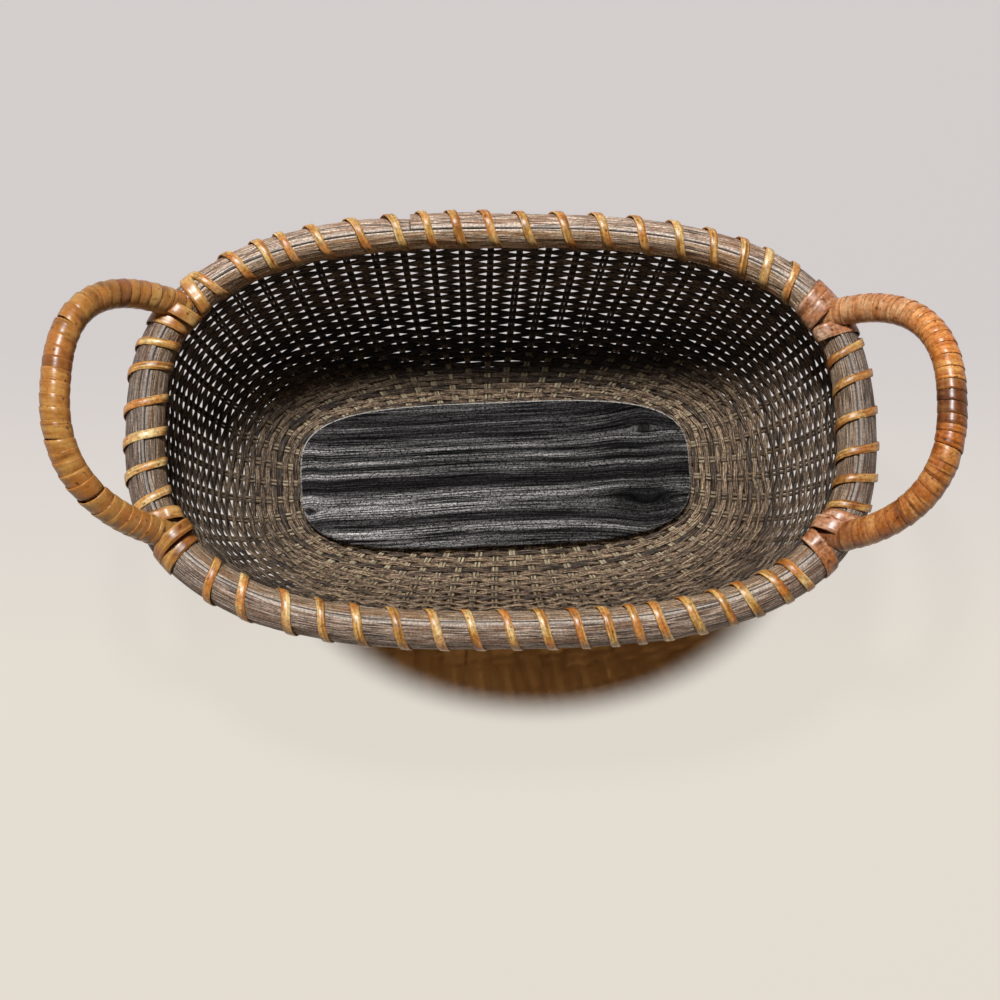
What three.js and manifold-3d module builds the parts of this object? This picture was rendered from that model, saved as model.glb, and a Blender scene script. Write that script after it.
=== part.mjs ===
// Oval basket: a wooden base board, a close-woven wall, a two-hoop rim lashed with cane and
// two cane-wrapped ear handles. Millimetres, +Z up, +X along the length, +Y to the back.
// The origin is the centre of the base board's underside, on which the basket stands.
import * as THREE from "three";
import { mergeVertices } from "three/addons/utils/BufferGeometryUtils.js";
import Module from "manifold-3d";

const wasm = await Module();
wasm.setup();

// Space left between pieces that touch on the real basket
const CLEARANCE = 0.3;
// How far a cutter runs past the face that it leaves by
const OVERRUN = 2;

// Base board, a thick oval of wood with a groove round its edge
const BOARD_HALF_LENGTH = 106;
const BOARD_HALF_WIDTH = 40.2;
const BOARD_THICKNESS = 12;
const BOARD_SQUARE_SHARE = 3.58;
const BOARD_EDGE_BEVEL = 1;
const BOARD_TURN_DEG = 2;
const GROOVE_DEPTH = 7;
const GROOVE_Z = 6.5;

// Woven wall. It is ribbed: at each pair of stakes it is as thick as the stakes with a weaver on
// each side, and between them it is as thick as two weavers that cross.
const STAKE_PAIR_COUNT = 61;
const STAKE_FOOT_THICKNESS = 4;
const WALL_THICKNESS = 4.3;
const THIN_WALL_THICKNESS = 2;
const STAKE_TIP_THICKNESS = 2.6;
// Bezier handles of the wall's profile, as shares of its flare and of its height
const WALL_CURVE_SHARES = [
  [0.6, -0.05],
  [0.78, 0.38],
];
// Where the profile has its points, and the share of the way up at which it starts to thin
const WALL_STEP_SHARES = [0, 0.12, 0.26, 0.4, 0.54, 0.68, 0.8, 0.9, 0.96, 1];
const FULL_WALL_SHARES = [0.1, 0.97];

// Rim, two half-round hoops with the stake tips between them
const RIM_HALF_LENGTH = 183;
const RIM_HALF_WIDTH = 110.6;
const RIM_SQUARE_SHARE = 2.775;
const RIM_Z = 119;
const HOOP_WIDTH = 7.55;
const HOOP_HEIGHT = 16;
const HOOP_SIDE_COUNT = 6;
const TIP_BELOW_RIM_TOP = 2;
// A long slanted cut parts each hoop's two ends
const SCARF_LENGTH = 42;
const SCARF_GAP = 0.6;
const OUTER_SCARF_TURN_SHARE = 0.317;
const INNER_SCARF_TURN_SHARE = 0.811;
const STATION_COUNT = 72;

// Cane lashing, wound round both hoops and through the wall below them
const LASHING_WIDTH = 4.2;
const LASHING_THICKNESS = 0.9;
const LASHING_STEP_COUNT = 8;
const LASHING_SQUARE_SHARE = 2.4;
const LASHING_KNOT_GAP = 9;
const LASHING_RUNS = [
  { name: "back_rim_lashing", from: "right_back", to: "left_back", loops: 19 },
  { name: "left_rim_lashing", from: "left_back", to: "left_front", loops: 6 },
  { name: "front_rim_lashing", from: "left_front", to: "right_front", loops: 19 },
  { name: "right_rim_lashing", from: "right_front", to: "right_back", loops: 6 },
];

// Handle lashings, three broad turns that fan out round each handle's root
const KNOT_WIDTH = 5.8;
const KNOT_TURN_COUNT = 3;
const KNOT_INNER_PITCH = 7.4;
const KNOT_OUTER_PITCH = 11;
// Where the knots are, as shares of a full turn from +X
const RIGHT_BACK_TURN_SHARE = 0.0514;
const LEFT_BACK_TURN_SHARE = 0.4417;
const LEFT_FRONT_TURN_SHARE = 0.5508;
const RIGHT_FRONT_TURN_SHARE = 0.9433;
const KNOT_TURN_SHARES = {
  right_back: RIGHT_BACK_TURN_SHARE,
  left_back: LEFT_BACK_TURN_SHARE,
  left_front: LEFT_FRONT_TURN_SHARE,
  right_front: RIGHT_FRONT_TURN_SHARE,
};

// Ear handles, a bent rod wound from root to root with a cane strip
const CORE_RADIUS = 5.7;
const CORE_SIDE_COUNT = 8;
const CORE_STEP_COUNT = 24;
const HANDLE_SQUARE_SHARE = 2.5;
const HANDLE_REACH = 66;
const HANDLE_TILT_DEG = 41;
const HANDLE_ABOVE_RIM = 3;
const HANDLE_ROOT_REACH = 5;
const WRAP_THICKNESS = 0.9;
const WRAP_GAP = 1.9;
const WRAP_LOOP_COUNT = 22;
const WRAP_STEP_COUNT = 8;
const WRAP_BARE_END = 15;
// Each bow also leans to the back, by a share of its reach
const HANDLES = [
  { name: "left", from: "left_back", to: "left_front", leanShare: 0.09 },
  { name: "right", from: "right_front", to: "right_back", leanShare: 0.045 },
];

const MATERIALS = {
  board: { color: 0x3a3a3c, roughness: 0.75, metalness: 0 },
  weave: { color: 0x4e463c, roughness: 0.85, metalness: 0 },
  outerHoop: { color: 0x857868, roughness: 0.8, metalness: 0 },
  innerHoop: { color: 0x94795c, roughness: 0.8, metalness: 0 },
  lashing: { color: 0xc98d47, roughness: 0.45, metalness: 0 },
  core: { color: 0xb07a45, roughness: 0.6, metalness: 0 },
  wrap: { color: 0xb9793d, roughness: 0.4, metalness: 0 },
};

// An oval between an ellipse and a rectangle: the higher its square share, the fuller its corners.
class OvalCurve extends THREE.Curve {
  constructor(halfLength, halfWidth, squareShare, turnDeg = 0) {
    super();
    this.arcLengthDivisions = STATION_COUNT * CORE_SIDE_COUNT;
    Object.assign(this, { halfLength, halfWidth, squareShare, turn: THREE.MathUtils.degToRad(turnDeg) });
  }

  getPoint(share, target = new THREE.Vector3()) {
    const angle = 2 * Math.PI * share;
    const across = Math.abs(Math.cos(angle) / this.halfLength) ** this.squareShare;
    const along = Math.abs(Math.sin(angle) / this.halfWidth) ** this.squareShare;
    const radius = (across + along) ** (-1 / this.squareShare);
    return target.set(
      radius * Math.cos(angle + this.turn),
      radius * Math.sin(angle + this.turn),
      0,
    );
  }
}

// Evenly spaced stations on an oval, each with its point and its outward normal in plan.
function stationsOf(curve, count) {
  const points = curve.getSpacedPoints(count).slice(0, count);
  return points.map((point, i) => {
    const next = points[(i + 1) % count];
    const last = points[(i + count - 1) % count];
    const along = next.clone().sub(last).normalize();
    return { point, normal: new THREE.Vector3(along.y, -along.x, 0) };
  });
}

// A closed skin over a row of section loops, capped or, in a ring, joined end to end. The
// loops of a ring run up the inside and down the outside.
function skin(sections, isRing) {
  const size = sections[0].length;
  const index = [];
  const rowCount = isRing ? sections.length : sections.length - 1;
  for (let i = 0; i < rowCount; i++) {
    const here = i * size;
    const there = ((i + 1) % sections.length) * size;
    for (let j = 0; j < size; j++) {
      const k = (j + 1) % size;
      index.push(here + j, here + k, there + k, here + j, there + k, there + j);
    }
  }
  const last = (sections.length - 1) * size;
  for (let j = 1; j < size - 1 && !isRing; j++) {
    index.push(0, j + 1, j, last, last + j, last + j + 1);
  }
  const geometry = new THREE.BufferGeometry();
  geometry.setAttribute(
    "position",
    new THREE.Float32BufferAttribute(sections.flat().flatMap((p) => p.toArray()), 3),
  );
  geometry.setIndex(index);
  return geometry;
}

function toSolid(geometry) {
  const bare = geometry.clone();
  bare.deleteAttribute("normal");
  bare.deleteAttribute("uv");
  const merged = mergeVertices(bare);
  return new wasm.Manifold(
    new wasm.Mesh({
      numProp: 3,
      vertProperties: merged.attributes.position.array,
      triVerts: new Uint32Array(merged.index.array),
    }),
  );
}

function toGeometry(solid) {
  const mesh = solid.getMesh();
  const geometry = new THREE.BufferGeometry();
  geometry.setAttribute("position", new THREE.BufferAttribute(mesh.vertProperties, 3));
  geometry.setIndex(new THREE.BufferAttribute(mesh.triVerts, 1));
  return geometry;
}

const basket = new THREE.Group();

function addPiece(name, geometry, material) {
  geometry.computeVertexNormals();
  const mesh = new THREE.Mesh(geometry, new THREE.MeshStandardMaterial(material));
  mesh.name = name;
  basket.add(mesh);
}

// A point beside a station: an offset outward in plan, at a height.
function besideStation(station, offset, z) {
  return station.point.clone().addScaledVector(station.normal, offset).setZ(z);
}

// Stations of the board's edge, and of the rim's mid-line between its hoops.
const TIP_HALF = STAKE_TIP_THICKNESS / 2;
const HOOP_FACE_OFFSET = TIP_HALF + CLEARANCE;
const RIM_HALF_SECTION = HOOP_FACE_OFFSET + HOOP_WIDTH;
const HOOP_HALF_HEIGHT = HOOP_HEIGHT / 2;
const boardCurve = new OvalCurve(
  BOARD_HALF_LENGTH,
  BOARD_HALF_WIDTH,
  BOARD_SQUARE_SHARE,
  BOARD_TURN_DEG,
);
const rimCurve = new OvalCurve(
  RIM_HALF_LENGTH - RIM_HALF_SECTION,
  RIM_HALF_WIDTH - RIM_HALF_SECTION,
  RIM_SQUARE_SHARE,
);
const boardStations = stationsOf(boardCurve, STATION_COUNT);
const rimStations = stationsOf(rimCurve, STATION_COUNT);
const rimLength = rimCurve.getLength();

// Where the lashing runs round the rim's section: half sizes at its corners, so that the flat
// stretches between them clear the hoops.
const STEP_SAG_SHARE = Math.cos(Math.PI / LASHING_STEP_COUNT) ** (2 / LASHING_SQUARE_SHARE);
const LASHING_OFFSET = CLEARANCE + LASHING_THICKNESS / 2;
const LASHING_HALF_WIDTH = (RIM_HALF_SECTION + LASHING_OFFSET) / STEP_SAG_SHARE;
const LASHING_HALF_HEIGHT = (HOOP_HALF_HEIGHT + LASHING_OFFSET) / STEP_SAG_SHARE;
const LASHING_BOTTOM_Z = RIM_Z - HOOP_HALF_HEIGHT - LASHING_OFFSET;

// The rim's mid-line at a length along it from +X, between its stations.
function rimAt(length) {
  const place = ((((length / rimLength) % 1) + 1) % 1) * STATION_COUNT;
  const i = Math.floor(place) % STATION_COUNT;
  const next = rimStations[(i + 1) % STATION_COUNT];
  const point = rimStations[i].point.clone().lerp(next.point, place - i);
  const normal = rimStations[i].normal.clone().lerp(next.normal, place - i).normalize();
  return { point, normal, tangent: new THREE.Vector3(-normal.y, normal.x, 0) };
}

// The length along the rim at which its mid-line has gone a share of a turn round the centre.
function rimLengthAt(turnShare) {
  const lengths = rimCurve.getLengths();
  return lengths[Math.round(turnShare * (lengths.length - 1))];
}

// A corner of the rim's section at an angle round it: 0 outside, 90 on top, 180 inside.
function sectionCorner(deg, halfWidth, halfHeight) {
  const cosine = Math.cos(THREE.MathUtils.degToRad(deg));
  const sine = Math.sin(THREE.MathUtils.degToRad(deg));
  const power = 2 / LASHING_SQUARE_SHARE;
  return {
    offset: halfWidth * Math.sign(cosine) * Math.abs(cosine) ** power,
    rise: halfHeight * Math.sign(sine) * Math.abs(sine) ** power,
  };
}

// A flat strip along a row of places, each with its centre, its outward normal and the
// direction of its width.
function strip(places, width, thickness) {
  return places.map(({ centre, normal, side }) =>
    [
      [-1, -1],
      [1, -1],
      [1, 1],
      [-1, 1],
    ].map(([across, out]) =>
      centre
        .clone()
        .addScaledVector(side, (across * width) / 2)
        .addScaledVector(normal, (out * thickness) / 2),
    ),
  );
}

// The least gap between turns of a strip, measured on its corners.
function leastGap(sections, stepCount) {
  let least = Infinity;
  for (let i = 0; i < sections.length; i++) {
    for (let j = i + stepCount / 2; j < sections.length; j++) {
      for (const a of sections[i]) {
        for (const b of sections[j]) {
          least = Math.min(least, a.distanceTo(b));
        }
      }
    }
  }
  return least;
}

// A strip wound round the rim. lengthAt gives the length along the rim for a number of turns,
// counted from under the outer hoop, over the top and down the inside.
const CORNER_DEG = 360 / LASHING_STEP_COUNT;
function rimStrip(lengthAt, turnCount, width) {
  const places = [];
  const cornerCount = turnCount * LASHING_STEP_COUNT;
  for (let i = 0; i < cornerCount; i++) {
    const deg = -90 + CORNER_DEG * (i + 0.5);
    const { point, normal, tangent } = rimAt(lengthAt((i + 0.5) / LASHING_STEP_COUNT));
    const { offset, rise } = sectionCorner(deg, LASHING_HALF_WIDTH, LASHING_HALF_HEIGHT);
    const centre = point.addScaledVector(normal, offset).setZ(RIM_Z + rise);
    const angle = Math.atan2(rise, offset);
    const out = normal.clone().multiplyScalar(Math.cos(angle)).setZ(Math.sin(angle));
    places.push({ centre, normal: out, side: tangent.negate() });
  }
  return strip(places, width, LASHING_THICKNESS);
}

// The slot that lets a strip through the wall below the hoops.
function wallSlot(length, width) {
  const { point, normal } = rimAt(length);
  const slot = new THREE.BoxGeometry(
    STAKE_TIP_THICKNESS + 2 * OVERRUN,
    width + 4 * CLEARANCE,
    LASHING_THICKNESS + 2 * CLEARANCE,
  );
  slot.rotateZ(Math.atan2(normal.y, normal.x));
  slot.translate(point.x, point.y, LASHING_BOTTOM_Z);
  return toSolid(slot);
}

const wallSlots = [];

function addRimWinding(name, lengthAt, turnCount, width) {
  const sections = rimStrip(lengthAt, turnCount, width);
  console.log(`${name}: least gap ${leastGap(sections, LASHING_STEP_COUNT).toFixed(2)} mm`);
  addPiece(name, skin(sections, false), MATERIALS.lashing);
  for (let turn = 1; turn < turnCount; turn++) {
    wallSlots.push(wallSlot(lengthAt(turn), width));
  }
}

// Four knots, one at each handle root, and the lashing runs between them
function addKnots() {
  for (const [place, turnShare] of Object.entries(KNOT_TURN_SHARES)) {
    const middle = rimLengthAt(turnShare);
    const half = (KNOT_TURN_COUNT - 1) / 2;
    const lengthAt = (turns) => {
      const turn = Math.floor(turns);
      const part = turns - turn;
      const outer = (half - turn) * KNOT_OUTER_PITCH;
      const inner = (half - turn) * KNOT_INNER_PITCH;
      const before = (half - turn + 1) * KNOT_INNER_PITCH;
      const after = outer - KNOT_OUTER_PITCH;
      // Outer side a quarter turn in, inner side at three quarters.
      if (part < 0.25) return middle + THREE.MathUtils.lerp(before, outer, part * 2 + 0.5);
      if (part < 0.75) return middle + THREE.MathUtils.lerp(outer, inner, part * 2 - 0.5);
      return middle + THREE.MathUtils.lerp(inner, after, part * 2 - 1.5);
    };
    addRimWinding(`${place}_handle_lashing`, lengthAt, KNOT_TURN_COUNT, KNOT_WIDTH);
  }
}

function addLashingRuns() {
  const margin = KNOT_OUTER_PITCH + KNOT_WIDTH / 2 + LASHING_KNOT_GAP;
  for (const { name, from, to, loops } of LASHING_RUNS) {
    const start = rimLengthAt(KNOT_TURN_SHARES[from]) + margin;
    const end = rimLengthAt(KNOT_TURN_SHARES[to]) - margin;
    const run = (end - start + rimLength) % rimLength;
    const lengthAt = (turns) => start + run * (1 - turns / loops);
    addRimWinding(name, lengthAt, loops, LASHING_WIDTH);
  }
}

// Base board, with the groove that takes the stakes' feet
function addBoard() {
  const inset = BOARD_EDGE_BEVEL;
  const outline = new THREE.Shape(
    boardStations.map((station) => {
      const corner = besideStation(station, -inset, 0);
      return new THREE.Vector2(corner.x, corner.y);
    }),
  );
  const blank = new THREE.ExtrudeGeometry(outline, {
    depth: BOARD_THICKNESS - 2 * inset,
    bevelThickness: inset,
    bevelSize: inset,
    bevelSegments: 1,
  });
  blank.translate(0, 0, inset);
  const halfHeight = STAKE_FOOT_THICKNESS / 2 + CLEARANCE;
  const groove = skin(
    boardStations.map((station) => [
      besideStation(station, -GROOVE_DEPTH, GROOVE_Z + halfHeight),
      besideStation(station, OVERRUN, GROOVE_Z + halfHeight),
      besideStation(station, OVERRUN, GROOVE_Z - halfHeight),
      besideStation(station, -GROOVE_DEPTH, GROOVE_Z - halfHeight),
    ]),
    true,
  );
  addPiece("base_board", toGeometry(toSolid(blank).subtract(toSolid(groove))), MATERIALS.board);
}

// The wall's mid-surface beside a station: its place and slope a share of the way up.
const WALL_TOP_Z = RIM_Z - HOOP_HALF_HEIGHT - OVERRUN;
const PROFILE = new THREE.CubicBezierCurve(
  new THREE.Vector2(0, 0),
  new THREE.Vector2(...WALL_CURVE_SHARES[0]),
  new THREE.Vector2(...WALL_CURVE_SHARES[1]),
  new THREE.Vector2(1, 1),
);
function wallRow(board, rim, share) {
  const { x: flareShare, y: heightShare } = PROFILE.getPoint(share);
  const slope = PROFILE.getTangent(share);
  const flare = rim.point.distanceTo(board.point);
  const rise = WALL_TOP_Z - GROOVE_Z;
  const centre = board.point.clone().lerp(rim.point, flareShare).setZ(GROOVE_Z + rise * heightShare);
  const out = board.normal.clone().lerp(rim.normal, flareShare).normalize();
  const angle = Math.atan2(slope.y * rise, slope.x * flare);
  const normal = out.multiplyScalar(Math.sin(angle)).setZ(-Math.cos(angle));
  return { centre, normal };
}

function wallThickness(full, share) {
  const [foot, top] = FULL_WALL_SHARES;
  if (share < foot) return THREE.MathUtils.lerp(STAKE_FOOT_THICKNESS, full, share / foot);
  const thinned = Math.max(0, (share - top) / (1 - top));
  return THREE.MathUtils.lerp(full, STAKE_TIP_THICKNESS, thinned);
}

// Woven wall, from the groove in the board to the stake tips between the hoops
function addWall() {
  const tipZ = RIM_Z + HOOP_HALF_HEIGHT - TIP_BELOW_RIM_TOP;
  const footOffset = CLEARANCE - GROOVE_DEPTH;
  const footHalf = STAKE_FOOT_THICKNESS / 2;
  const rims = stationsOf(rimCurve, 2 * STAKE_PAIR_COUNT);
  const sections = stationsOf(boardCurve, 2 * STAKE_PAIR_COUNT).map((board, i) => {
    const full = i % 2 ? WALL_THICKNESS : THIN_WALL_THICKNESS;
    const outside = [besideStation(board, footOffset, GROOVE_Z - footHalf)];
    const inside = [besideStation(board, footOffset, GROOVE_Z + footHalf)];
    for (const share of WALL_STEP_SHARES) {
      const { centre, normal } = wallRow(board, rims[i], share);
      const half = wallThickness(full, share) / 2;
      outside.push(centre.clone().addScaledVector(normal, half));
      inside.push(centre.clone().addScaledVector(normal, -half));
    }
    outside.push(besideStation(rims[i], TIP_HALF, tipZ));
    inside.push(besideStation(rims[i], -TIP_HALF, tipZ));
    return [...inside, ...outside.reverse()];
  });
  let wall = toSolid(skin(sections, true));
  for (const slot of wallSlots) wall = wall.subtract(slot);
  addPiece("woven_wall", toGeometry(wall), MATERIALS.weave);
}

// The slanted gap between a hoop's two ends
function scarfCut(turnShare) {
  const { point, normal, tangent } = rimAt(rimLengthAt(turnShare));
  const slant = Math.atan2(HOOP_WIDTH, SCARF_LENGTH);
  const cut = new THREE.BoxGeometry(2 * SCARF_LENGTH, SCARF_GAP, HOOP_HEIGHT + 2 * OVERRUN);
  cut.rotateZ(Math.atan2(tangent.y, tangent.x) + slant);
  return { cut, point, normal };
}

// Rim hoops: half-round strips with their flat faces to the stake tips
function addHoop(name, side, scarfTurnShare, material) {
  const sections = rimStations.map((station) => {
    const loop = [];
    for (let i = 0; i <= HOOP_SIDE_COUNT; i++) {
      const angle = Math.PI * (i / HOOP_SIDE_COUNT - 0.5);
      const offset = HOOP_FACE_OFFSET + HOOP_WIDTH * Math.cos(angle);
      const rise = HOOP_HALF_HEIGHT * Math.sin(angle);
      loop.push(besideStation(station, side * offset, RIM_Z + rise));
    }
    return side > 0 ? loop.reverse() : loop;
  });
  const { cut, point, normal } = scarfCut(scarfTurnShare);
  const middle = point.addScaledVector(normal, side * (HOOP_FACE_OFFSET + HOOP_WIDTH / 2));
  cut.translate(middle.x, middle.y, RIM_Z);
  addPiece(name, toGeometry(toSolid(skin(sections, true)).subtract(toSolid(cut))), material);
}

// A handle's centre-line: half an oval in a plane that leans up from the rim, with a straight
// stretch at each end that runs in to the rim. It spans the rim's mid-line from knot to knot.
class HandleCurve extends THREE.Curve {
  constructor({ from, to, leanShare }) {
    super();
    const start = rimAt(rimLengthAt(KNOT_TURN_SHARES[from])).point;
    const end = rimAt(rimLengthAt(KNOT_TURN_SHARES[to])).point;
    const chord = end.clone().sub(start);
    const tilt = THREE.MathUtils.degToRad(HANDLE_TILT_DEG);
    this.middle = start.clone().lerp(end, 0.5).setZ(RIM_Z + HANDLE_ABOVE_RIM);
    this.halfWidth = chord.length() / 2;
    this.along = chord.normalize();
    this.out = new THREE.Vector3(this.along.y, -this.along.x, 0)
      .multiplyScalar(Math.cos(tilt))
      .setZ(Math.sin(tilt))
      .add(new THREE.Vector3(0, leanShare, 0));
    this.arcLengthDivisions = CORE_STEP_COUNT * CORE_SIDE_COUNT;
  }

  getPoint(share, target = new THREE.Vector3()) {
    const length = 2 * HANDLE_ROOT_REACH + this.halfWidth + 2 * HANDLE_REACH;
    const straight = HANDLE_ROOT_REACH / length;
    const bowShare = THREE.MathUtils.clamp((share - straight) / (1 - 2 * straight), 0, 1);
    const past = Math.max(0, straight - share, share - 1 + straight) / straight;
    const angle = Math.PI * (bowShare - 0.5);
    const power = 2 / HANDLE_SQUARE_SHARE;
    const across = this.halfWidth * Math.sign(angle) * Math.abs(Math.sin(angle)) ** power;
    const out = HANDLE_REACH * Math.abs(Math.cos(angle)) ** power - HANDLE_ROOT_REACH * past;
    target.copy(this.middle).addScaledVector(this.along, across);
    return target.addScaledVector(this.out, out);
  }
}

// The space that the knots take round the rim, and the mouth inside it, to which the handles'
// ends are coped.
function rimEnvelope() {
  const spare = LASHING_THICKNESS / 2 + CLEARANCE;
  const sections = rimStations.map((station) => {
    const loop = [];
    for (let i = 0; i < LASHING_STEP_COUNT; i++) {
      const deg = CORNER_DEG * (i + 0.5);
      const { offset, rise } = sectionCorner(
        deg,
        LASHING_HALF_WIDTH + spare,
        LASHING_HALF_HEIGHT + spare,
      );
      loop.push(besideStation(station, offset, RIM_Z + rise));
    }
    return loop.reverse();
  });
  const mouth = new THREE.ExtrudeGeometry(
    new THREE.Shape(rimStations.map(({ point }) => new THREE.Vector2(point.x, point.y))),
    { depth: 2 * HOOP_HEIGHT, bevelEnabled: false },
  );
  mouth.translate(0, 0, RIM_Z - HOOP_HEIGHT);
  return toSolid(skin(sections, true)).add(toSolid(mouth));
}

// Handle core: a round rod along the centre-line, coped to the rim at both ends
function addHandleCore(handle, envelope) {
  const round = new THREE.Shape();
  for (let i = 0; i < CORE_SIDE_COUNT; i++) {
    const angle = (2 * Math.PI * i) / CORE_SIDE_COUNT;
    const corner = [CORE_RADIUS * Math.cos(angle), CORE_RADIUS * Math.sin(angle)];
    if (i === 0) round.moveTo(...corner);
    else round.lineTo(...corner);
  }
  const rod = new THREE.ExtrudeGeometry(round, {
    steps: CORE_STEP_COUNT,
    extrudePath: new HandleCurve(handle),
  });
  const coped = toSolid(rod).subtract(envelope);
  addPiece(`${handle.name}_handle_core`, toGeometry(coped), MATERIALS.core);
}

// Handle wrap: one cane strip wound round the core from root to root
function addHandleWrap(handle) {
  const curve = new HandleCurve(handle);
  const length = curve.getLength();
  const bare = (HANDLE_ROOT_REACH + WRAP_BARE_END) / length;
  const pitch = ((1 - 2 * bare) * length) / WRAP_LOOP_COUNT;
  const radius =
    (CORE_RADIUS + CLEARANCE + WRAP_THICKNESS / 2) / Math.cos(Math.PI / WRAP_STEP_COUNT);
  const places = [];
  const flat = new THREE.Vector3(0, 0, 1);
  for (let i = 0; i <= WRAP_LOOP_COUNT * WRAP_STEP_COUNT; i++) {
    const share = bare + ((1 - 2 * bare) * i) / (WRAP_LOOP_COUNT * WRAP_STEP_COUNT);
    const along = curve.getTangentAt(share);
    const across = new THREE.Vector3().crossVectors(flat, along).normalize();
    const up = new THREE.Vector3().crossVectors(along, across);
    const turn = (2 * Math.PI * (i + 0.5)) / WRAP_STEP_COUNT;
    const normal = across.multiplyScalar(Math.cos(turn)).addScaledVector(up, Math.sin(turn));
    const centre = curve.getPointAt(share).addScaledVector(normal, radius);
    places.push({ centre, normal, side: along });
  }
  const sections = strip(places, pitch - WRAP_GAP, WRAP_THICKNESS);
  const name = `${handle.name}_handle_wrap`;
  console.log(`${name}: least gap ${leastGap(sections, WRAP_STEP_COUNT).toFixed(2)} mm`);
  addPiece(name, skin(sections, false), MATERIALS.wrap);
}

addBoard();
addKnots();
addLashingRuns();
addWall();
addHoop("rim_outer_hoop", 1, OUTER_SCARF_TURN_SHARE, MATERIALS.outerHoop);
addHoop("rim_inner_hoop", -1, INNER_SCARF_TURN_SHARE, MATERIALS.innerHoop);
const envelope = rimEnvelope();
for (const handle of HANDLES) {
  addHandleCore(handle, envelope);
  addHandleWrap(handle);
}

export default basket;
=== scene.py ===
import math

import bpy
import numpy as np
from mathutils import Matrix, Vector


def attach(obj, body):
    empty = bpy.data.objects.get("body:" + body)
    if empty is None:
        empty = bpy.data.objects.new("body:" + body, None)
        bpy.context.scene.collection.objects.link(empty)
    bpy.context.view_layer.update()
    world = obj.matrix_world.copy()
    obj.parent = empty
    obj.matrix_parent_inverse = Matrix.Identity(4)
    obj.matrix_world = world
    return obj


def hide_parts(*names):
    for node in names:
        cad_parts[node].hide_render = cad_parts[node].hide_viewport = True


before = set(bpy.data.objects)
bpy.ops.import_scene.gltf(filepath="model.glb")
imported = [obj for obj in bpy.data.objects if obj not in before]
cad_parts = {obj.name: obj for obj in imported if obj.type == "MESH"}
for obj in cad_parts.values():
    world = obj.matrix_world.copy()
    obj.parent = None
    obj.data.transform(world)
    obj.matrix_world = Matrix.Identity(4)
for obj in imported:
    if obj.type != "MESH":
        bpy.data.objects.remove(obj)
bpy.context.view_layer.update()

# Camera and light.
# The photograph looks almost straight down into the basket. A broad lamp stands behind it, so the
# wall that faces the camera stays dark and the front of the bowl is lit.
MM = 0.001
CAMERA_PLACE = Vector((-37.68, -241.18, 1071.28)) * MM
CAMERA_RIGHT = Vector((0.999298, -0.015882, 0.033918))
CAMERA_UP = Vector((0.008438, 0.977827, 0.209245))
CAMERA_BACK = Vector((-0.036489, -0.208812, 0.977275))
CAMERA_LENS_MM = 72.11
SENSOR_MM = 36
LAMP_PLACE = Vector((-0.4, 1.1, 2.9))
LAMP_AIM = Vector((0.0, 0.0, 0.08))
LAMP_SIZE = 0.45
LAMP_WATTS = 103
ROOM_LIGHT = 0.035

camera_data = bpy.data.cameras.new("camera")
camera_data.lens = CAMERA_LENS_MM
camera = bpy.data.objects.new("camera", camera_data)
axes = Matrix((CAMERA_RIGHT, CAMERA_UP, CAMERA_BACK)).transposed()
camera.matrix_world = Matrix.Translation(CAMERA_PLACE) @ axes.to_4x4()
bpy.context.scene.collection.objects.link(camera)
bpy.context.scene.camera = camera
bpy.context.scene.view_settings.view_transform = "Standard"

lamp_data = bpy.data.lights.new("soft_lamp", "AREA")
lamp_data.shape = "SQUARE"
lamp_data.size = LAMP_SIZE
lamp_data.energy = LAMP_WATTS
lamp = bpy.data.objects.new("soft_lamp", lamp_data)
lamp.location = LAMP_PLACE
lamp.rotation_euler = (LAMP_PLACE - LAMP_AIM).to_track_quat("Z", "Y").to_euler()
bpy.context.scene.collection.objects.link(lamp)


def linear(hex_colour):
    """An sRGB hex colour as Blender's linear colour."""
    channels = [int(hex_colour[i : i + 2], 16) / 255 for i in (1, 3, 5)]
    return [c / 12.92 if c <= 0.04045 else ((c + 0.055) / 1.055) ** 2.4 for c in channels] + [1]


def add_node(tree, kind, inputs=None, output=0, stops=(), **settings):
    """Adds a node and returns one of its outputs. Each input, given by name or number, takes a
    value, or another node's output as a link. The stops of a colour ramp are places and sRGB
    colours."""
    node = tree.nodes.new(kind)
    for name, value in settings.items():
        setattr(node, name, value)
    for key, value in (inputs or {}).items():
        if isinstance(value, bpy.types.NodeSocket):
            tree.links.new(value, node.inputs[key])
        else:
            node.inputs[key].default_value = value
    if stops:
        elements = node.color_ramp.elements
        while len(elements) < len(stops):
            elements.new(1)
        for element, (place, colour) in zip(elements, stops):
            element.position = place
            element.color = linear(colour)
    return node.outputs[output] if node.outputs else None


world = bpy.data.worlds.new("room")
world.use_nodes = True
room = world.node_tree
room.nodes.clear()
light = add_node(room, "ShaderNodeBackground", {"Color": linear("#FFFBF6"), "Strength": ROOM_LIGHT})
add_node(room, "ShaderNodeOutputWorld", {"Surface": light})
bpy.context.scene.world = world


# Base board.
# A thick oval of softwood, stained black and brushed so that its hard grain stands up in ridges.
# Its edge is grooved for the stakes, and the top edge is worn pale by use and painted paler at the
# back, as a highlight.
BOARD_HALF_LENGTH = 106 * MM
BOARD_HALF_WIDTH = 40.2 * MM
BOARD_SQUARE_SHARE = 3.58
BOARD_TURN = math.radians(2)
BOARD_THICKNESS = 12 * MM
BOARD_EDGE_RADIUS = 1.6 * MM
BOARD_EDGE_STEPS = 4
GROOVE_DEPTH = 7 * MM
GROOVE_Z = 6.5 * MM
GROOVE_HALF_HEIGHT = 2.3 * MM
BOARD_COLUMNS = 340
BOARD_ROWS = 150
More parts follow.
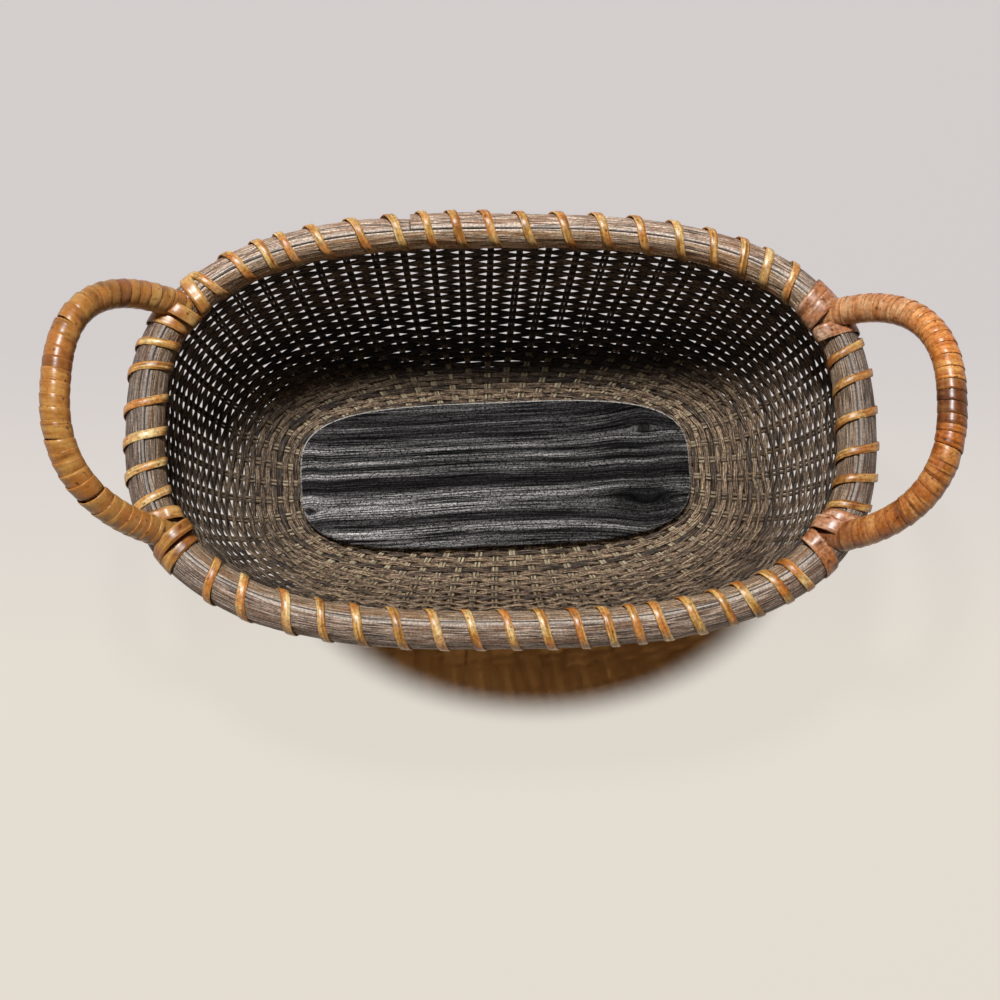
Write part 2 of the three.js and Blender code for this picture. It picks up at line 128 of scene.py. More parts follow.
# The grain's ridges run a long way along the board, with finer and shorter ones between them
GRAIN_RIDGE = 0.16 * MM
GRAIN_PITCH = 1.3 * MM
GRAIN_LENGTH = 70 * MM
FINE_GRAIN_PITCH = GRAIN_PITCH / 3
FINE_GRAIN_LENGTH = 20 * MM
FINE_GRAIN_SHARE = 0.4
# At the board's edge the ridges fade out over this share of the way to its middle
RIDGE_FADE_SHARE = 1 / 14
# The rings wander by this much, in waves of this length and width
RING_WANDER = 1.1 * MM
RING_WAVE_LENGTH = 60 * MM
RING_WAVE_WIDTH = 40 * MM
# The grey tones are partly the hard wood's own paler colour and partly painted sheen
BAND_TONES = {
    "soot": "#111012",
    "hollow": "#1D1B1C",
    "dull": "#3E3C3C",
    "hard": "#656362",
    "rubbed": "#757371",
}
# Bands of soft and hard wood, as shares of the board's width from its front edge
BOARD_BANDS = (
    (0.0, "dull"),
    (0.03, "hard"),
    (0.08, "hollow"),
    (0.13, "rubbed"),
    (0.18, "hollow"),
    (0.23, "dull"),
    (0.27, "hard"),
    (0.38, "hard"),
    (0.42, "hollow"),
    (0.49, "hollow"),
    (0.53, "hard"),
    (0.57, "soot"),
    (0.61, "hard"),
    (0.65, "soot"),
    (0.69, "hard"),
    (0.76, "hollow"),
    (0.84, "dull"),
    (0.88, "hollow"),
    (0.95, "dull"),
)
# Knots, as place along and across the board, the reach and width of the bend they make in the
# grain, and the half length and half width of the dark heart
KNOTS_MM = ((80, -17, 26, 3, 21, 7.5), (82, 22, 12, 1.8, 4, 4), (-101, -17, 6, 1.2, 3.2, 1.6))
# Patterns to the metre, along and across the grain: lines about 45 by 0.7 mm, streaks about 110
# by 3 mm and pores about 1.2 by 0.7 mm. Real pores are finer, and too fine to show.
WOOD_LINES = (22, 1500, 1)
WOOD_STREAKS = (9, 330, 1)
WOOD_PORES = (850, 1500, 1)
# The worn edge comes in between the first two of these heights and ends between the others
WORN_EDGE_Z = [BOARD_THICKNESS - below * MM for below in (1.3, 0.6, 0.35, 0.15)]
# Soft noise repeats after this many hills
LATTICE_SIZE = 64


def soft_noise(x, y, seed):
    """Soft random heights from -1 to 1, about one unit from one hill to the next."""
    lattice = np.random.default_rng(seed).uniform(-1, 1, (LATTICE_SIZE, LATTICE_SIZE))
    x, y = np.broadcast_arrays(x, y)
    column = np.floor(x).astype(int)
    row = np.floor(y).astype(int)
    across = x - column
    along = y - row
    across = across * across * (3 - 2 * across)
    along = along * along * (3 - 2 * along)
    left = column % LATTICE_SIZE
    right = (column + 1) % LATTICE_SIZE
    low, high = [
        lattice[left, level % LATTICE_SIZE] * (1 - across)
        + lattice[right, level % LATTICE_SIZE] * across
        for level in (row, row + 1)
    ]
    return low * (1 - along) + high * along


def new_piece(name, points, faces, material, smooth=True):
    """A mesh object at the origin from points and faces."""
    mesh = bpy.data.meshes.new(name)
    mesh.from_pydata([tuple(p) for p in points], [], faces)
    mesh.materials.append(material)
    mesh.polygons.foreach_set("use_smooth", [smooth] * len(mesh.polygons))
    piece = bpy.data.objects.new(name, mesh)
    bpy.context.scene.collection.objects.link(piece)
    return piece


def store_values(mesh, tables):
    """Stores each table, of one number or one direction for each point, under its name."""
    for name, values in tables.items():
        kind, field = ("FLOAT_VECTOR", "vector") if values.ndim == 2 else ("FLOAT", "value")
        layer = mesh.attributes.new(name, kind, "POINT")
        layer.data.foreach_set(field, values.astype(float).ravel())


def new_material(name, *tables):
    """A material, its empty tree, and a node output for each table that its piece stores."""
    material = bpy.data.materials.new(name)
    material.use_nodes = True
    tree = material.node_tree
    tree.nodes.clear()
    values = [
        add_node(tree, "ShaderNodeAttribute", output="Fac", attribute_name=table)
        for table in tables
    ]
    return material, tree, *values


def stretched_noise(tree, spot, scale, detail, roughness=0.5, distortion=0.0):
    """Noise with its own number of hills to a unit along each axis."""
    place = add_node(tree, "ShaderNodeMapping", {"Vector": spot, "Scale": scale})
    noise = {"Vector": place, "Scale": 1.0, "Detail": detail}
    noise |= {"Roughness": roughness, "Distortion": distortion}
    return add_node(tree, "ShaderNodeTexNoise", noise)


def toned(tree, colour, *factors):
    """A colour made darker or paler by factors. A factor is a node's output, or a row of an
    output, two of its values, and the factor at each of them."""
    for factor in factors:
        if isinstance(factor, tuple):
            factor = add_node(tree, "ShaderNodeMapRange", dict(enumerate(factor)))
        scaled = {0: colour, "Scale": factor}
        colour = add_node(tree, "ShaderNodeVectorMath", scaled, operation="SCALE")
    return colour


def set_surface(tree, colour, roughness, relief, strength, depth, specular=0.5):
    """Ends a material's tree in a shader with a colour, a roughness and a fine relief."""
    bump = {"Height": relief, "Strength": strength, "Distance": depth}
    surface = {
        "Base Color": colour,
        "Roughness": roughness,
        "Specular IOR Level": specular,
        "Normal": add_node(tree, "ShaderNodeBump", bump),
    }
    shader = add_node(tree, "ShaderNodeBsdfPrincipled", surface)
    add_node(tree, "ShaderNodeOutputMaterial", {"Surface": shader})


def turned(points, angle):
    """Points on a plane, turned about its origin."""
    cosine = math.cos(angle)
    sine = math.sin(angle)
    return points @ np.array([[cosine, sine], [-sine, cosine]])


def board_edge(directions, outset):
    """Where unit-square directions meet the board's edge, moved out or in."""
    power = BOARD_SQUARE_SHARE
    size = (np.abs(directions) ** power).sum(-1, keepdims=True) ** (1 / power)
    halves = np.array([BOARD_HALF_LENGTH, BOARD_HALF_WIDTH]) + outset
    return turned(directions / np.maximum(size, 1e-9) * halves, BOARD_TURN)


def board_grain(points):
    """Place along and across the grain of each point, and how near it is to the dark heart of a
    knot, from 0 to 1. The grain parts round the knots."""
    along, across = turned(points, -BOARD_TURN).T
    ring = across + RING_WANDER * soft_noise(along / RING_WAVE_LENGTH, across / RING_WAVE_WIDTH, 11)
    heart = np.zeros(len(points))
    for knot_along, knot_across, reach, push, half_length, half_width in KNOTS_MM:
        off_along = along / MM - knot_along
        off_across = across / MM - knot_across
        ring -= push * MM * np.exp(-((off_along / reach) ** 2)) * np.tanh(off_across / push)
        heart += np.exp(-((off_along / half_length) ** 2) - (off_across / half_width) ** 2)
    return along, ring, np.clip(heart, 0, 1)


def make_board():
    """The grained top as a grid, then the rounded edge, the groove and the flat underside."""
    across, along = np.meshgrid(
        np.linspace(-1, 1, BOARD_COLUMNS + 1),
        np.linspace(-1, 1, BOARD_ROWS + 1),
        indexing="ij",
    )
    square = np.stack([across, along], -1).reshape(-1, 2)
    reach = np.abs(square).max(-1, keepdims=True)
    directions = square / np.maximum(reach, 1e-9)
    top = board_edge(directions, -BOARD_EDGE_RADIUS) * reach
    along_grain, ring, _ = board_grain(top)
    grain = soft_noise(along_grain / GRAIN_LENGTH, ring / GRAIN_PITCH, 12)
    fine = soft_noise(along_grain / FINE_GRAIN_LENGTH, ring / FINE_GRAIN_PITCH, 13)
    grain += FINE_GRAIN_SHARE * fine
    fade = np.clip((1 - reach[:, 0]) / RIDGE_FADE_SHARE, 0, 1)
    points = np.column_stack([top, BOARD_THICKNESS + GRAIN_RIDGE * (grain - 1) / 2 * fade])
    size = BOARD_ROWS + 1
    faces = [
        (i * size + j, (i + 1) * size + j, (i + 1) * size + j + 1, i * size + j + 1)
        for i in range(BOARD_COLUMNS)
        for j in range(BOARD_ROWS)
    ]
    last = [i * size for i in range(BOARD_COLUMNS)]
    last += [BOARD_COLUMNS * size + j for j in range(BOARD_ROWS)]
    last += [i * size + BOARD_ROWS for i in range(BOARD_COLUMNS, 0, -1)]
    last += list(range(BOARD_ROWS, 0, -1))
    around = directions[last]
    radius = BOARD_EDGE_RADIUS
    arc = [step / BOARD_EDGE_STEPS * math.pi / 2 for step in range(BOARD_EDGE_STEPS + 1)]
    # Each ring round the board, as how far it stands out from the grained top and its height
    rings = [(radius * math.sin(a), BOARD_THICKNESS - radius * (1 - math.cos(a))) for a in arc[1:]]
    rings += [
        (radius, GROOVE_Z + GROOVE_HALF_HEIGHT),
        (radius - GROOVE_DEPTH, GROOVE_Z + GROOVE_HALF_HEIGHT),
        (radius - GROOVE_DEPTH, GROOVE_Z - GROOVE_HALF_HEIGHT),
        (radius, GROOVE_Z - GROOVE_HALF_HEIGHT),
    ]
    rings += [(radius * math.cos(a), radius * (1 - math.sin(a))) for a in arc]
    for out, z in rings:
        ring = board_edge(around, out - radius)
        start = len(points)
        points = np.vstack([points, np.column_stack([ring, np.full(len(ring), z)])])
        here = list(range(start, start + len(ring)))
        faces += [
            (last[k], here[k], here[(k + 1) % len(here)], last[(k + 1) % len(here)])
            for k in range(len(here))
        ]
        last = here
    faces.append(tuple(reversed(last)))
    board = new_piece("grained_board", points, faces, black_wood())
    store_values(board.data, dict(zip(("along", "ring", "knot"), board_grain(points[:, :2]))))
    return board


def black_wood():
    """Softwood stained black and brushed: black in the soft hollows, dull grey on the hard rings,
    and pale on the highest lines, where it is rubbed bare. The grey and the pale lines are partly
    painted sheen."""
    material, tree, along, ring, knot = new_material("black_stained_wood", "along", "ring", "knot")
    place = add_node(tree, "ShaderNodeTexCoord", output="Object")
    spot = add_node(tree, "ShaderNodeCombineXYZ", {0: along, 1: ring})
    # Bands across the board, from its front edge to its back edge
    across = {0: ring, 1: -BOARD_HALF_WIDTH, 2: BOARD_HALF_WIDTH}
    across = add_node(tree, "ShaderNodeMapRange", across)
    stops = [(share, BAND_TONES[tone]) for share, tone in BOARD_BANDS]
    colour = add_node(tree, "ShaderNodeValToRGB", {0: across}, stops=stops)
    lines = stretched_noise(tree, spot, WOOD_LINES, 3.0, roughness=0.6)
    streaks = stretched_noise(tree, spot, WOOD_STREAKS, 2.0)
    pores = stretched_noise(tree, spot, WOOD_PORES, 2.0, distortion=1.2)
    speck = add_node(tree, "ShaderNodeMapRange", {0: pores, 1: 0.38, 2: 0.64, 3: 0.1, 4: 2.1})
    colour = toned(
        tree,
        colour,
        (lines, 0.41, 0.62, 0.03, 2.7),
        (streaks, 0.36, 0.64, 0.4, 1.5),
        speck,
        # Paler towards the left end and darker towards the right, and dark on the knots
        (along, -BOARD_HALF_LENGTH, BOARD_HALF_LENGTH, 1.15, 0.6),
        (knot, 0.1, 0.6, 1.0, 0.1),
    )
    # Pale on the highest lines: partly rubbed bare, partly painted sheen
    rub_and_sheen = add_node(tree, "ShaderNodeMapRange", {0: lines, 1: 0.56, 2: 0.64, 4: 0.5})
    ridge = add_node(tree, "ShaderNodeMapRange", {0: streaks, 1: 0.62, 2: 0.7})
    rub_and_sheen = add_node(tree, "ShaderNodeMath", {0: rub_and_sheen, 1: ridge}, operation="MULTIPLY")
    # The top edge is worn pale in specks. Towards the back it is kept pale as a painted highlight,
    # where it catches the lamp, and it fades out towards the front
    height = add_node(tree, "ShaderNodeSeparateXYZ", {0: place}, output=2)
    low, high = [
        add_node(tree, "ShaderNodeMapRange", {0: height, 1: start, 2: end})
        for start, end in (WORN_EDGE_Z[:2], WORN_EDGE_Z[2:])
    ]
    back = add_node(tree, "ShaderNodeMapRange", {0: across, 1: 0.1, 2: 0.95})
    edge = add_node(tree, "ShaderNodeMath", {0: low, 1: high}, operation="SUBTRACT")
    for factor in (speck, back):
        edge = add_node(tree, "ShaderNodeMath", {0: edge, 1: factor}, operation="MULTIPLY")
    pale = add_node(tree, "ShaderNodeMath", {0: rub_and_sheen, 1: edge}, operation="MAXIMUM")
    mix = {0: pale, 6: colour, 7: linear("#C4C2BC")}
    colour = add_node(tree, "ShaderNodeMix", mix, output=2, data_type="RGBA")
    rough = add_node(tree, "ShaderNodeMapRange", {0: lines, 1: 0.3, 2: 0.7, 3: 0.75, 4: 0.5})
    relief = add_node(tree, "ShaderNodeMath", {0: lines, 1: pores}, operation="ADD")
    set_surface(tree, colour, rough, relief, 0.7, 0.4 * MM, specular=0.05)
    return material


board = make_board()
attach(board, "root")
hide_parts("base_board")


# Stakes.
# Sixty-one pairs of thin split rods stand in the board's groove, fan out under the bowl and rise
# to the rim, where their tips are caught between the hoops. They are paler than the weavers.
STAKE_COUNT = 61
ROD_WIDTH = 1.9 * MM
ROD_THICKNESS = 1.8 * MM
ROD_SPACING = 1.9 * MM
ROD_SIDES = 6
STAKE_STEPS = 44
STAKE_WOBBLE = 0.35 * MM
STAKE_BENDS = 5
FOOT_DEPTH = 6 * MM
TIP_STEPS = 4
TIP_START_SHARE = 0.35
RIM_HALF_LENGTH = 183 * MM
RIM_HALF_WIDTH = 110.6 * MM
RIM_HALF_SECTION = 9.15 * MM
RIM_SQUARE_SHARE = 2.775
RIM_Z = 119 * MM
WALL_TOP_Z = 109 * MM
STAKE_TIP_Z = 122 * MM
# Bezier handles of the wall's profile, as shares of its flare and of its height
WALL_CURVE_SHARES = ((0, 0), (0.6, -0.05), (0.78, 0.38), (1, 1))
WALL_CURVE_SAMPLES = 400
WALL_COLUMNS = STAKE_COUNT * 12
WALL_ROWS = 120
OVAL_SAMPLES = 8000
# Fibres to the metre along a rod, and across half of it: each is about 11 mm long
ROD_FIBRES = (90, 2.6, 1)
ROD_TONE_STOPS = (0.36, 0.5, 0.62)


def oval_stations(half_length, half_width, square_share, turn, count):
    """Evenly spaced points round an oval, from +X, the outward direction at each, and the
    oval's length."""
    angle = np.linspace(0, 2 * math.pi, OVAL_SAMPLES + 1)
    radius = (
        np.abs(np.cos(angle) / half_length) ** square_share
        + np.abs(np.sin(angle) / half_width) ** square_share
    ) ** (-1 / square_share)
    x = radius * np.cos(angle + turn)
    y = radius * np.sin(angle + turn)
    arc = np.concatenate([[0], np.cumsum(np.hypot(np.diff(x), np.diff(y)))])
    place = np.linspace(0, arc[-1], count + 1)[:-1]
    points = np.column_stack([np.interp(place, arc, x), np.interp(place, arc, y)])
    along = np.roll(points, -1, 0) - np.roll(points, 1, 0)
    along /= np.linalg.norm(along, axis=1, keepdims=True)
    return points, np.column_stack([along[:, 1], -along[:, 0]]), arc[-1]


def rim_stations(count):
    """Evenly spaced points round the rim's mid-line."""
    half_length = RIM_HALF_LENGTH - RIM_HALF_SECTION
    half_width = RIM_HALF_WIDTH - RIM_HALF_SECTION
    return oval_stations(half_length, half_width, RIM_SQUARE_SHARE, 0, count)


def wall_tables():
    """The wall's mid-surface: place, outward normal and upward direction at each column and row,
    with the rows evenly spaced up the curve."""
    board_middle, board_out, _ = oval_stations(
        BOARD_HALF_LENGTH, BOARD_HALF_WIDTH, BOARD_SQUARE_SHARE, BOARD_TURN, WALL_COLUMNS
    )
    rim_middle, rim_out, _ = rim_stations(WALL_COLUMNS)
    share = np.linspace(0, 1, WALL_CURVE_SAMPLES)[:, None]
    _, p1, p2, p3 = [np.array(p) for p in WALL_CURVE_SHARES]
    curve = 3 * (1 - share) ** 2 * share * p1 + 3 * (1 - share) * share**2 * p2 + share**3 * p3
    flare = np.linalg.norm(rim_middle - board_middle, axis=1)
    rise = WALL_TOP_Z - GROOVE_Z
    places, outs, ups = [], [], []
    for column in range(WALL_COLUMNS):
        run = curve[:, 0] * flare[column]
        climb = curve[:, 1] * rise
        arc = np.concatenate([[0], np.cumsum(np.hypot(np.diff(run), np.diff(climb)))])
        even = np.linspace(0, arc[-1], WALL_ROWS + 1)
        part = np.interp(even, arc, curve[:, 0])[:, None]
        height = GROOVE_Z + np.interp(even, arc, climb)
        flat = board_middle[column] * (1 - part) + rim_middle[column] * part
        direction = unit(board_out[column] * (1 - part) + rim_out[column] * part)
        slope = np.arctan2(np.gradient(height), np.gradient(part[:, 0] * flare[column]))[:, None]
        places.append(np.column_stack([flat, height]))
        outs.append(np.column_stack([direction * np.sin(slope), -np.cos(slope)]))
        ups.append(np.column_stack([direction * np.cos(slope), np.sin(slope)]))
    return np.array(places), np.array(outs), np.array(ups)


def unit(vectors):
    """Vectors of the same directions, one long."""
    return vectors / np.maximum(np.linalg.norm(vectors, axis=-1, keepdims=True), 1e-12)


WALL_TABLES = wall_tables()


def on_wall(turn, height):
    """Places, outward normals and upward directions at shares of a turn round the wall and
    shares of the way up it."""
    column = np.mod(turn, 1) * WALL_COLUMNS
    row = np.clip(height, 0, 1) * WALL_ROWS
    c0 = np.floor(column).astype(int) % WALL_COLUMNS
    r0 = np.minimum(np.floor(row).astype(int), WALL_ROWS - 1)
    c1 = (c0 + 1) % WALL_COLUMNS
    across = (column - np.floor(column))[:, None]
    along = (row - r0)[:, None]
    found = []
    for table in WALL_TABLES:
        low = table[c0, r0] * (1 - across) + table[c1, r0] * across
        high = table[c0, r0 + 1] * (1 - across) + table[c1, r0 + 1] * across
        found.append(low * (1 - along) + high * along)
    return found


def strand_tree():
    """Sweeps a flat or round section along each of many paths at once. The paths are the points
    of one mesh, path after path, and hold the section's size and directions as attributes."""
    tree = bpy.data.node_groups.new("strands_along_paths", "GeometryNodeTree")
    for name, kind in (
        ("Paths", "Geometry"),
        ("Strands", "Int"),
        ("Steps", "Int"),
        ("Sides", "Int"),
        ("Roundness", "Float"),
        ("Finish", "Material"),
    ):
        tree.interface.new_socket(name, in_out="INPUT", socket_type=f"NodeSocket{kind}")
    tree.interface.new_socket("Mesh", in_out="OUTPUT", socket_type="NodeSocketGeometry")
    given = add_node(tree, "NodeGroupInput").node.outputs
    # One upright tube of the right number of rings for each strand, numbered
    gaps = add_node(tree, "ShaderNodeMath", {0: given["Steps"], 1: 1.0}, operation="SUBTRACT")
    size = {"Vertices": given["Sides"], "Side Segments": gaps, "Radius": 1.0, "Depth": 1.0}
    tube = add_node(tree, "GeometryNodeMeshCylinder", size, output="Mesh", fill_type="NGON")
    spots = add_node(tree, "GeometryNodePoints", {"Count": given["Strands"]})
    shaped = add_node(tree, "GeometryNodeInstanceOnPoints", {"Points": spots, "Instance": tube})
    number = add_node(tree, "GeometryNodeInputIndex")
    shaped = add_node(
        tree,
        "GeometryNodeStoreNamedAttribute",
        {"Geometry": shaped, "Name": "strand", "Value": number},
        data_type="INT",
        domain="INSTANCE",
    )
    shaped = add_node(tree, "GeometryNodeRealizeInstances", {"Geometry": shaped})
    # Each ring's path point: its strand's number times the steps, plus its own step
    place = add_node(tree, "GeometryNodeInputPosition")
    part = add_node(tree, "ShaderNodeSeparateXYZ", {0: place}).node.outputs
    strand = add_node(tree, "GeometryNodeInputNamedAttribute", {"Name": "strand"}, data_type="INT")
    step = add_node(tree, "ShaderNodeMath", {0: part[2], 1: 0.5}, operation="ADD")
    step = add_node(tree, "ShaderNodeMath", {0: step, 1: gaps}, operation="MULTIPLY")
    step = add_node(tree, "ShaderNodeMath", {0: step}, operation="ROUND")
    count = {0: strand, 1: given["Steps"], 2: step}
    index = add_node(tree, "ShaderNodeMath", count, operation="MULTIPLY_ADD")
    sampled = {}
    for name, kind in (
        ("place", "FLOAT_VECTOR"),
        ("out", "FLOAT_VECTOR"),
        ("side", "FLOAT_VECTOR"),
        ("width", "FLOAT"),
        ("thickness", "FLOAT"),
        ("along", "FLOAT"),
        ("shade", "FLOAT"),
    ):
        value = place
        if name != "place":
            named = {"Name": name}
            value = add_node(tree, "GeometryNodeInputNamedAttribute", named, data_type=kind)
        sampled[name] = add_node(
            tree,
            "GeometryNodeSampleIndex",
            {"Geometry": given["Paths"], "Value": value, "Index": index},
            data_type=kind,
            domain="POINT",
        )
    # Each point of a ring moves out from the path by its share of the width and the thickness
    moved = sampled["place"]
    for axis, direction, size in ((0, "side", "width"), (1, "out", "thickness")):
        way = add_node(tree, "ShaderNodeMath", {0: part[axis]}, operation="SIGN")
        reach = add_node(tree, "ShaderNodeMath", {0: part[axis]}, operation="ABSOLUTE")
        for operation, value in (
            ("POWER", given["Roundness"]),
            ("MULTIPLY", way),
            ("MULTIPLY", sampled[size]),
            ("MULTIPLY", 0.5),
        ):
            reach = add_node(tree, "ShaderNodeMath", {0: reach, 1: value}, operation=operation)
        shift = {0: sampled[direction], "Scale": reach}
        shift = add_node(tree, "ShaderNodeVectorMath", shift, operation="SCALE")
        moved = add_node(tree, "ShaderNodeVectorMath", {0: moved, 1: shift}, operation="ADD")
    kept = {"along": sampled["along"], "shade": sampled["shade"], "across": part[0]}
    for name, value in kept.items():
        shaped = add_node(
            tree,
            "GeometryNodeStoreNamedAttribute",
            {"Geometry": shaped, "Name": name, "Value": value},
            data_type="FLOAT",
            domain="POINT",
        )
    shaped = add_node(tree, "GeometryNodeSetPosition", {"Geometry": shaped, "Position": moved})
    shaped = add_node(tree, "GeometryNodeSetShadeSmooth", {0: shaped})
    shaped = add_node(tree, "GeometryNodeRealizeInstances", {"Geometry": shaped})
    finish = {"Geometry": shaped, "Material": given["Finish"]}
    add_node(tree, "NodeGroupOutput", {"Mesh": add_node(tree, "GeometryNodeSetMaterial", finish)})
    return tree


STRAND_TREE = strand_tree()


def strand_piece(name, paths, sides, roundness, material):
    """One piece from many paths of equal length. Each path holds its points, the outward
    direction of its flat face, its width, its thickness, a shade, and where its pattern starts,
    so that no two look alike. Roundness is 1 for a round section and less for a squarer one."""
    steps = len(paths[0]["points"])
    values = {"out": [], "side": [], "width": [], "thickness": [], "along": [], "shade": []}
    for path in paths:
        forward = unit(np.gradient(path["points"], axis=0))
        side = unit(np.cross(path["out"], forward))
        gaps = np.linalg.norm(np.diff(path["points"], axis=0), axis=1)
        values["out"].append(np.cross(forward, side))
        values["side"].append(side)
        values["along"].append(np.concatenate([[0], np.cumsum(gaps)]) + path.get("start", 0))
        for key in ("width", "thickness", "shade"):
            values[key].append(np.broadcast_to(path[key], steps))
    guide = bpy.data.meshes.new("paths")
    guide.from_pydata([tuple(p) for path in paths for p in path["points"]], [], [])
    store_values(guide, {key: np.concatenate(rows) for key, rows in values.items()})
    holder = bpy.data.objects.new("paths", guide)
    bpy.context.scene.collection.objects.link(holder)
    modifier = holder.modifiers.new("strands", "NODES")
    modifier.node_group = STRAND_TREE
    given = {
        "Strands": len(paths),
        "Steps": steps,
        "Sides": sides,
        "Roundness": float(roundness),
        "Finish": material,
    }
    for item in STRAND_TREE.interface.items_tree:
        if item.name in given:
            modifier[item.identifier] = given[item.name]
    ready = holder.evaluated_get(bpy.context.evaluated_depsgraph_get())
    mesh = bpy.data.meshes.new_from_object(ready)
    mesh.name = name
    bpy.data.objects.remove(holder)
    piece = bpy.data.objects.new(name, mesh)
    bpy.context.scene.collection.objects.link(piece)
    return piece


def stake_path(number, side):
    """One rod of a pair, from its foot in the groove to its tip between the hoops."""
    height = np.linspace(0, 1, STAKE_STEPS)
    wall, outs, ups = on_wall(np.full(STAKE_STEPS, (number + 0.5) / STAKE_COUNT), height)
    # Each rod reads the noise in a row of its own, and starts its fibres at a place of its own
    lean = STAKE_WOBBLE * soft_noise(height * STAKE_BENDS, number * 0.37 + side * 9, 21)
    fibre_start = number * 0.31 + side * 0.11
    round_wall = unit(np.cross(ups, outs))
    wall = wall + round_wall * (side * ROD_SPACING / 2 + lean)[:, None]
    foot = wall[:1] - unit(ups[:1] * (1, 1, 0)) * FOOT_DEPTH
    foot[:, 2] = GROOVE_Z
    rise = np.linspace(TIP_START_SHARE, 1, TIP_STEPS)[:, None]
    tip = wall[-1:] + (0, 0, 1) * rise * (STAKE_TIP_Z - WALL_TOP_Z)
    return {
        "points": np.vstack([foot, wall, tip]),
        "out": np.vstack([outs[:1], outs, np.repeat(outs[-1:], TIP_STEPS, 0)]),
        "width": ROD_WIDTH,
        "thickness": ROD_THICKNESS,
        "shade": np.concatenate([[0], height, [1] * TIP_STEPS]),
        "start": fibre_start,
    }


def split_rod():
    """Split willow, untreated: straw to tan, with fine dark fibres along it."""
    material, tree, along, across, height = new_material(
        "split_willow_rods", "along", "across", "shade"
    )
    spot = add_node(tree, "ShaderNodeCombineXYZ", {0: along, 1: across})
    fibre = stretched_noise(tree, spot, ROD_FIBRES, 3.0)
    pale, dark = [
        add_node(tree, "ShaderNodeValToRGB", {0: fibre}, stops=tuple(zip(ROD_TONE_STOPS, tones)))
        for tones in (("#4E3F2E", "#9C8B6C", "#D8CBAC"), ("#33271C", "#64513E", "#9A8468"))
    ]
    # The rods are darker up the wall and at the two ends of the basket
    climb = add_node(tree, "ShaderNodeMapRange", {0: height, 1: 0.04, 2: 0.34})
    place = add_node(tree, "ShaderNodeTexCoord", output="Object")
    reach = add_node(tree, "ShaderNodeSeparateXYZ", {0: place})
    reach = add_node(tree, "ShaderNodeMath", {0: reach}, operation="ABSOLUTE")
    reach = add_node(tree, "ShaderNodeMapRange", {0: reach, 1: 98 * MM, 2: 122 * MM, 4: 0.8})
    climb = add_node(tree, "ShaderNodeMath", {0: climb, 1: reach}, operation="MAXIMUM")
    mix = {0: climb, 6: pale, 7: dark}
    colour = add_node(tree, "ShaderNodeMix", mix, output=2, data_type="RGBA")
    set_surface(tree, colour, 0.6, fibre, 0.4, 0.2 * MM)
    return material


stake_paths = [stake_path(number, side) for number in range(STAKE_COUNT) for side in (-1, 1)]
stakes = strand_piece("stakes", stake_paths, ROD_SIDES, 1.0, split_rod())
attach(stakes, "root")
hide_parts("woven_wall")


# Weavers.
# One long strand of fine split rods winds up the bowl, in front of one stake and behind the next.
# The number of stakes is odd, so each row crosses them the other way from the row below it.
WEAVE_ROWS = 43
MIDDLE_ROW = 22
# The wall's height in rows, and how far up its row the first one starts
ROWS_TO_TOP = WEAVE_ROWS + 0.5
FIRST_ROW_SHARE = 0.25
# Rows packed up between the hoops
ROWS_IN_RIM = 1.4
# A weaver's width, as a share of a row's height, at shares of the way up the wall
COVER_HEIGHTS = (0.2, 0.38, 0.6, 1)
COVER_SHARES = (1.1, 1.06, 1.14, 1.28)
# The right end is packed a little closer than the left one
LEFT_COVER_SHARE = 0.04
RIGHT_COVER_SHARE = 0.16
WEAVER_THICKNESS = 1.1 * MM
WEAVER_SIDES = 6
WEAVER_ROUNDNESS = 0.8
WEAVER_SWING = 1.08 * MM
WEAVER_STEPS_PER_STAKE = 8
WEAVER_WANDER = 0.3 * MM
# By how much of themselves the swing and the size change along the strand, and how often they and
# the wander change
SWING_CHANGE = 0.12
SWING_CHANGES_PER_STAKE = 0.9
WANDERS_PER_STAKE = 0.6
WANDERS_PER_ROW = 0.5
SIZE_CHANGE = 0.1
SIZE_CHANGES_PER_ROW = 14
# Above 1, a weaver lies flat between the stakes and bulges sharply over each
BULGE_SHARE = 1.7
WEAVER_LENGTH = 600 * MM
WEAVER_GRAIN = 1.2 * MM
# Fibres to the metre along a weaver, and across half of it: each is about 11 mm long
WEAVER_FIBRES = (95, 3.4, 1)
WEAVER_TONE_STOPS = (0.42, 0.5, 0.58, 0.68)
# Each weaver is about three fine rods side by side, with painted shade in the gaps between them:
# the angle of a wave over half its width, how far the fibres bend the wave, and where it starts
ROD_WAVE = 5.4
ROD_WAVE_BEND = 2.4
ROD_WAVE_START = 0.4


def wall_arc(turn):
    """The length of the wall's curve, from the groove to the rim, at a share of a turn."""
    length = np.linalg.norm(np.diff(WALL_TABLES[0], axis=1), axis=2).sum(1)
    return length[np.floor(np.mod(turn, 1) * WALL_COLUMNS).astype(int)]


